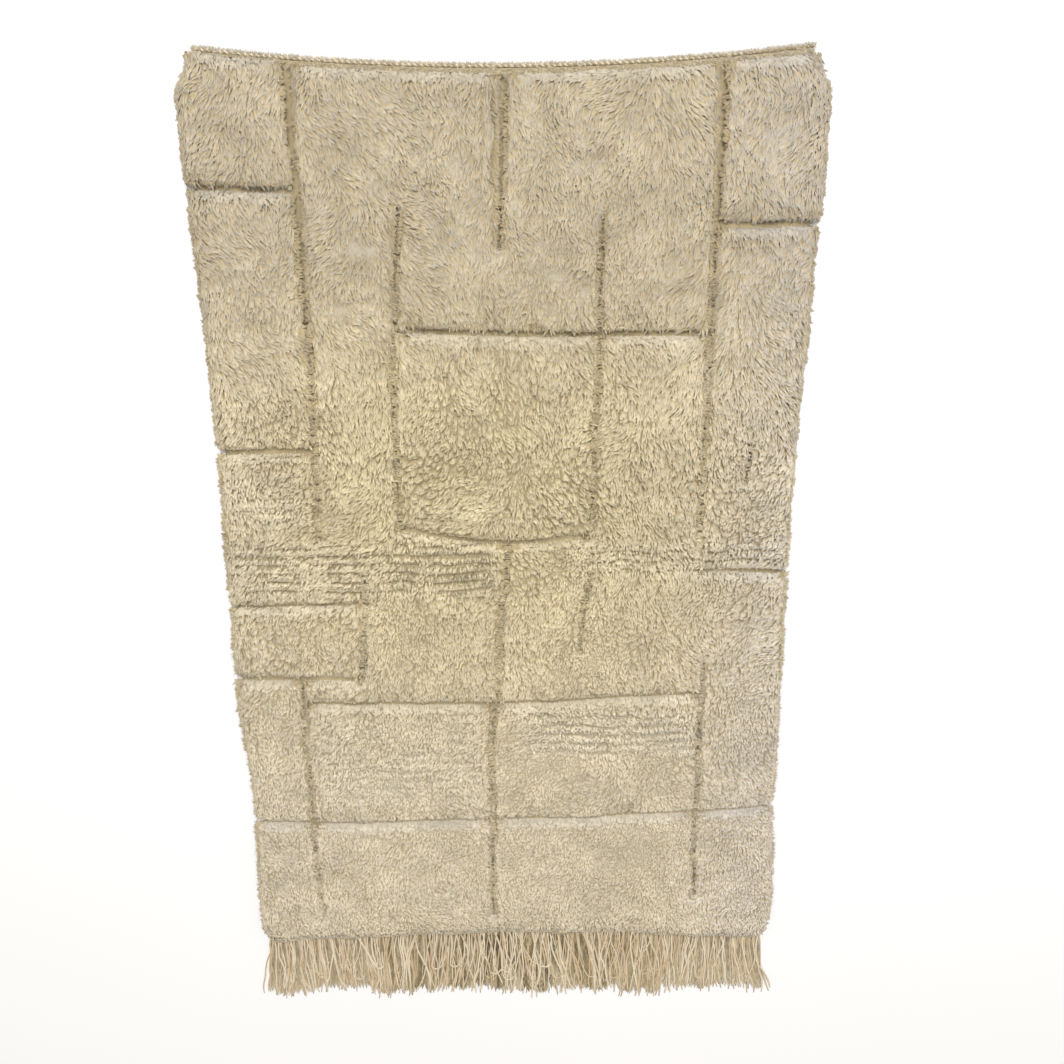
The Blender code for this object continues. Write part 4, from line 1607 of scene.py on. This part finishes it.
cord_finish = yarn_finish("twined_cord", CORD_PALE, CORD_BROWN)
steps = round(2.0 * CORD_HALF_WIDTH / CORD_STEP)
cord_x = np.linspace(CORD_END_IN - CORD_HALF_WIDTH, CORD_HALF_WIDTH - CORD_END_IN, steps)
cord_y = end_arc(cord_x, CORDED_END, CORDED_END_RISE) + CORD_CENTRE_PAST
still = np.zeros(steps)
slip = CORD_SLIP * uneven(cord_x / CORD_SLIP_LENGTH, still)
wide = PLY_OFFSET * (1.0 + CORD_LOOSE * uneven(cord_x / CORD_LOOSE_LENGTH, still, 8.0))
plies, radii = [], []
for half_turn, row in ((0.0, 0.0), (math.pi, 5.0)):
    angle = math.tau * cord_x / CORD_TURN + half_turn + slip
    places = [cord_x, cord_y + wide * np.cos(angle), CORD_RADIUS + wide * np.sin(angle)]
    plies.append(np.column_stack(places))
    thick = 1.0 + PLY_UNEVEN * uneven(cord_x / PLY_UNEVEN_LENGTH, np.full(steps, row))
    radii.append(PLY_RADIUS * thick)
ply_tones = np.add.outer(PLY_TONES, BROWN_END_TONE * np.interp(cord_x, BROWN_END, (0.0, 1.0)))
cord = join_yarns(
    "twined_cord", np.array(plies), np.array(radii), ply_tones, PLY_SIDES, PLY_PITCH, 1,
    cord_finish, "heading_cord",
)
print("cord's points on each ply:", steps)

# %% [markdown]
# ## Fuzz on the cord and nap on the heading
#
# Handspun yarn is hairy, and the bare heading behind the cord is felted with
# stray wool. Both are short fine locks, joined as the pile's are: those of the
# cord stand up off it, and those of the heading lie down towards the pile.

# %% Fray the cord and the heading
FUZZ_COUNT = 3800
FUZZ_WIDTH = 0.0011
FUZZ_LENGTHS = (0.0030, 0.0085)
FUZZ_LEVELS = (0.0010, 0.0050)
FUZZ_SPREAD = 0.8
FUZZ_RISE = 0.3
FUZZ_BEND = 0.12
FUZZ_FACING = (0.0, 0.3, 1.0)
FUZZ_TONES = (-0.5, 1.6)
NAP_COUNT = 2600
NAP_WIDTH = 0.0014
NAP_BAND = (-0.0020, 0.0110)
NAP_SUNK = 0.0004
NAP_TURN = 1.0
NAP_RISE = (0.05, 0.45)
NAP_LENGTHS = (0.0035, 0.0075)
NAP_TONES = (-0.3, 1.4)
TAN_OF_NAP = (0.8, 0.4, 0.2)


def short_locks(root, way, outward, lengths, tones, deep):
    """Short locks with these roots and directions, and lengths and tones in a range."""
    count = len(root)
    length = chance.uniform(*lengths, count)[:, None]
    outward = unit(np.tile(outward, (count, 1)))
    belly = root + (way * BELLY_SHARE + outward * FUZZ_BEND) * length
    tone = chance.uniform(*tones, count)
    return Locks(root, belly, root + way * length, outward, tone, np.tile(deep, (count, 1)))


fuzz_x = chance.uniform(-CORD_HALF_WIDTH, CORD_HALF_WIDTH, FUZZ_COUNT)
fuzz_y = end_arc(fuzz_x, CORDED_END, CORDED_END_RISE) + CORD_CENTRE_PAST
root = np.column_stack([fuzz_x, fuzz_y, chance.uniform(*FUZZ_LEVELS, FUZZ_COUNT)])
angle = FUZZ_SPREAD * chance.normal(size=FUZZ_COUNT)
rise = FUZZ_RISE * chance.normal(size=FUZZ_COUNT)
way = np.column_stack([np.sin(angle), np.cos(angle), rise])
fuzz = short_locks(root, way, FUZZ_FACING, FUZZ_LENGTHS, FUZZ_TONES, TAN_AND_SHADE_OF_STRAYS)
cord_fuzz = join_locks("cord_fuzz", fuzz, ivory_wool, "heading_cord", FUZZ_WIDTH)

nap_x = chance.uniform(-CORD_HALF_WIDTH, CORD_HALF_WIDTH, NAP_COUNT)
nap_y = end_arc(nap_x, CORDED_END, CORDED_END_RISE) - chance.uniform(*NAP_BAND, NAP_COUNT)
root = np.column_stack([nap_x, nap_y, np.full(NAP_COUNT, GROUND_TOP - NAP_SUNK)])
angle = NAP_TURN * chance.normal(size=NAP_COUNT)
way = np.column_stack([np.sin(angle), -np.cos(angle), chance.uniform(*NAP_RISE, NAP_COUNT)])
nap = short_locks(root, way, UP, NAP_LENGTHS, NAP_TONES, TAN_OF_NAP)
heading_nap = join_locks("heading_nap", nap, ivory_wool, "heading_cord", NAP_WIDTH)
print("fibres on the cord:", FUZZ_COUNT, "and on the heading:", NAP_COUNT)

# %% [markdown]
# ## The fringe's edges
#
# At the other end the warp yarns were cut off the loom and left loose. They leave
# the cloth on its bowed end, spread a little, sway together and end at uneven
# lengths. These three lines say so for any x, and every layer of the fringe
# follows them.

# %% Draw the fringe's lines
FRINGE_HALF_WIDTH = 0.480
FRINGE_ROOT_UNDER = 0.001
FRINGE_END = -0.861
FRINGE_END_UNEVEN = 0.018
FRINGE_END_WAVE = 0.035
SPLAY = 0.012
CLUMP = 0.0036
CLUMP_WAVE = 0.062
SWAY = 0.010
SWAY_WAVE = 0.42


def fringe_end(x):
    """The y at which the yarns end near x."""
    return FRINGE_END + FRINGE_END_UNEVEN * uneven(x / FRINGE_END_WAVE, np.zeros(x.size))


def fringe_aside(x):
    """How far a yarn that starts at x has swayed aside at its tip."""
    sway = SWAY * np.sin(math.tau * x / SWAY_WAVE)
    return SPLAY * x + CLUMP * np.sin(math.tau * x / CLUMP_WAVE) + sway


def fringe_root(x):
    """The y at which the yarns leave the cloth at x."""
    return end_arc(x, FRINGED_END, FRINGED_END_RISE) + PILE_OVERHANG - FRINGE_ROOT_UNDER


middle_end = np.array([0.0])
print("fringe's length, m:", (fringe_root(middle_end) - fringe_end(middle_end)).round(3))

# %% [markdown]
# ## The fringe's dense layer
#
# Cut warps lie so close that no floor shows between them. Yarns enough for that
# would need a million faces. A mat of short locks under the loose yarns closes the
# view, and its tan, dark patches near the middle stand for the shade between
# yarns. Steps of the golden ratio spread the locks evenly from root to tip.

# %% Felt the mat
MAT_COUNT = 11000
MAT_WIDTH = 0.0034
MAT_LENGTHS = (0.014, 0.028)
MAT_LEVELS = (0.0010, 0.0030)
MAT_ARCH = 0.0007
MAT_TURN = 0.16
MAT_SHORT = 0.002
GOLDEN = 0.6180339887
MAT_ROOT_SHARE = 0.95
MAT_DARK_WIDTH = 0.21
MAT_DARK_AT = -0.03
MAT_DARK_LENGTHS = (0.0075, 0.050)
MAT_DARK_LEVEL = 0.4
MAT_DARK_SWING = 1.6
MAT_TONE = -0.60
MAT_TONE_SPREAD = 0.35
MAT_SHADE_TOWARD_ROOT = 0.7
MAT_DARK_TONE = 1.3
MAT_TAN = 0.46
TAN_OF_MAT = (1.0, 1.0, 0.8)


def mat_locks():
    """Short locks in a dense layer that closes the view to the floor."""
    x = FRINGE_HALF_WIDTH * np.linspace(-1.0, 1.0, MAT_COUNT)
    share = np.arange(MAT_COUNT) * GOLDEN % 1.0
    size = chance.uniform(*MAT_LENGTHS, MAT_COUNT)
    whole = fringe_root(x) - fringe_end(x) - MAT_SHORT
    y = fringe_root(x) - (whole - size) * share
    turn = 2.0 * fringe_aside(x) / whole * share + MAT_TURN * chance.normal(size=MAT_COUNT)
    level = chance.uniform(*MAT_LEVELS, MAT_COUNT)
    root = np.column_stack([x + fringe_aside(x) * share * share, y, level])
    way = np.column_stack([np.sin(turn), -np.cos(turn), np.zeros(MAT_COUNT)]) * size[:, None]
    outward = np.tile(UP, (MAT_COUNT, 1))
    gaps = uneven(x / MAT_DARK_LENGTHS[0], y / MAT_DARK_LENGTHS[1], 17.0)
    near_middle = np.exp(-(((x - MAT_DARK_AT) / MAT_DARK_WIDTH) ** 2))
    dark = np.clip(MAT_DARK_LEVEL + MAT_DARK_SWING * gaps, 0.0, 1.0) * near_middle
    # Painted shade: the mat is darker towards its roots, under the pile's edge, and in the dark
    # patches near the middle.
    tone = MAT_TONE_SPREAD * chance.normal(size=MAT_COUNT) + MAT_SHADE_TOWARD_ROOT * share
    tone += MAT_TONE - MAT_DARK_TONE * dark
    deep = np.outer(MAT_TAN + (1.0 - MAT_TAN) * dark, TAN_OF_MAT)
    belly = root + way * BELLY_SHARE + outward * MAT_ARCH
    return Locks(root, belly, root + way, outward, tone, deep)


mat_wool = wool_finish("matted_wool", MAT_ROOT_SHARE)
mat = join_locks("fringe_mat", mat_locks(), mat_wool, "warp_fringe", MAT_WIDTH)
print("locks in the mat:", MAT_COUNT)

# %% [markdown]
# ## The fringe's loose yarns
#
# Over the mat lie two layers of loose yarns that wander, cross and curl back. A
# rope simulation would settle them, but never twice alike. Each path is walked in
# small steps whose direction drifts, so a yarn keeps its length however it bends,
# and its height falls towards the floor at its tip.

# %% Bend and curl the yarns
YARN_END_SPREAD = 0.007
YARN_STRAY = 0.3
DRIFT_RANGE = (0.0, 90.0)
BEND_PACE = (2.1, 1.7)
KINK_PACE = (6.5, 2.3)
RISE_PACE = (3.0, 1.0)
BEND_TURN = 1.7
KINK_TURN = 0.9
CURL_BEGINS = (0.55, 0.80)
CURL_LENGTH = 0.16
CURL_TURN = 2.7
RISE_SHARE = 0.35
TIP_SINKS_FROM = 0.55
TIP_SINK = 0.45
TIP_THINS_FROM = 0.88
TIP_THIN = 0.45
BEND_THICK = 0.15
THICKNESSES = (0.80, 1.20)
KINK_TONE = 0.25
Layer = namedtuple("Layer", "name count sections sides radius height wander looped seed")
LAYERS = (
    Layer("fringe_under", 150, 16, 4, 0.0016, 0.0030, 0.20, 0.0, 31),
    Layer("fringe_over", 165, 30, 5, 0.0016, 0.0046, 0.32, 0.12, 37),
)


def along_yarns(share, drift, pace, row):
    """Noise along each yarn, different in every one."""
    flat = uneven(share * pace[0] + drift, drift * pace[1] + share * 0.0, row)
    return flat.reshape(drift.size, share.size)


def curls_back(layer, draw, share):
    """How far some yarns turn back near their tips, to either side."""
    curled = draw.uniform(size=layer.count) < layer.looped
    begins = draw.uniform(*CURL_BEGINS, layer.count)[:, None]
    way = np.where(draw.uniform(size=layer.count) < 0.5, -1.0, 1.0)[:, None]
    turn = way * CURL_TURN * np.clip((share - begins) / CURL_LENGTH, 0.0, 1.0)
    return np.where(curled[:, None], turn, 0.0)


print("layers of loose yarns:", [layer.name for layer in LAYERS])


# %% Walk the yarns' paths
def fringe_paths(layer):
    """The paths of one layer's yarns, from their roots to their tips."""
    draw = np.random.default_rng(layer.seed)
    count, sections = layer.count, layer.sections
    x = np.linspace(-1.0, 1.0, count) * (FRINGE_HALF_WIDTH - layer.radius)
    x += draw.uniform(-YARN_STRAY, YARN_STRAY, count) * 2.0 * FRINGE_HALF_WIDTH / count
    x = np.clip(x, -FRINGE_HALF_WIDTH, FRINGE_HALF_WIDTH)
    root_y = fringe_root(x)
    length = root_y - fringe_end(x) + YARN_END_SPREAD * draw.uniform(-1.0, 1.0, count)
    share = np.linspace(0.0, 1.0, sections)[None, :]
    drift = draw.uniform(*DRIFT_RANGE, count)[:, None]
    bend = along_yarns(share, drift, BEND_PACE, 9.0)
    kink = along_yarns(share, drift, KINK_PACE, 10.0)
    turn = 2.0 * (fringe_aside(x) / length)[:, None] * share
    turn = turn + layer.wander * (BEND_TURN * bend + KINK_TURN * kink)
    turn = turn + curls_back(layer, draw, share)
    step = (length / (sections - 1))[:, None]
    path_x = x[:, None] + np.cumsum(np.sin(turn) * step, axis=1) - np.sin(turn[:, :1]) * step
    path_y = root_y[:, None] - np.cumsum(np.cos(turn) * step, axis=1) + np.cos(turn[:, :1]) * step
    rise = 1.0 + RISE_SHARE * along_yarns(share, drift, RISE_PACE, 11.0)
    sink = np.clip((share - TIP_SINKS_FROM) / (1.0 - TIP_SINKS_FROM), 0.0, 1.0)
    thin = np.clip((share - TIP_THINS_FROM) / (1.0 - TIP_THINS_FROM), 0.0, 1.0)
    radius = layer.radius * (1.0 + BEND_THICK * bend) * (1.0 - TIP_THIN * thin)
    radius = radius * draw.uniform(*THICKNESSES, count)[:, None]
    height = layer.height * rise * (1.0 - TIP_SINK * sink)
    height = np.maximum(height, radius * YARN_SQUASH + FLOOR_CLEARANCE)
    tones = draw.uniform(size=count)[:, None] - KINK_TONE * kink
    return np.stack([path_x, path_y, height], axis=2), radius, tones


print("a step of the first layer's yarns is a share of", round(1.0 / (LAYERS[0].sections - 1), 3))

# %% Lay the fringe's yarns
YARN_PALE = (0.89, 0.775, 0.575, 1.0)
YARN_TAN = (0.67, 0.505, 0.30, 1.0)
YARN_PITCH = 0.010
YARN_COLUMNS = 8

fringe_finish = yarn_finish("warp_yarn", YARN_PALE, YARN_TAN)
for layer in LAYERS:
    paths, radius, tones = fringe_paths(layer)
    yarns = join_yarns(
        layer.name, paths, radius, tones, layer.sides, YARN_PITCH, YARN_COLUMNS,
        fringe_finish, "warp_fringe",
    )
    print(layer.name, "yarns:", layer.count, "lowest y:", paths[:, :, 1].min().round(4))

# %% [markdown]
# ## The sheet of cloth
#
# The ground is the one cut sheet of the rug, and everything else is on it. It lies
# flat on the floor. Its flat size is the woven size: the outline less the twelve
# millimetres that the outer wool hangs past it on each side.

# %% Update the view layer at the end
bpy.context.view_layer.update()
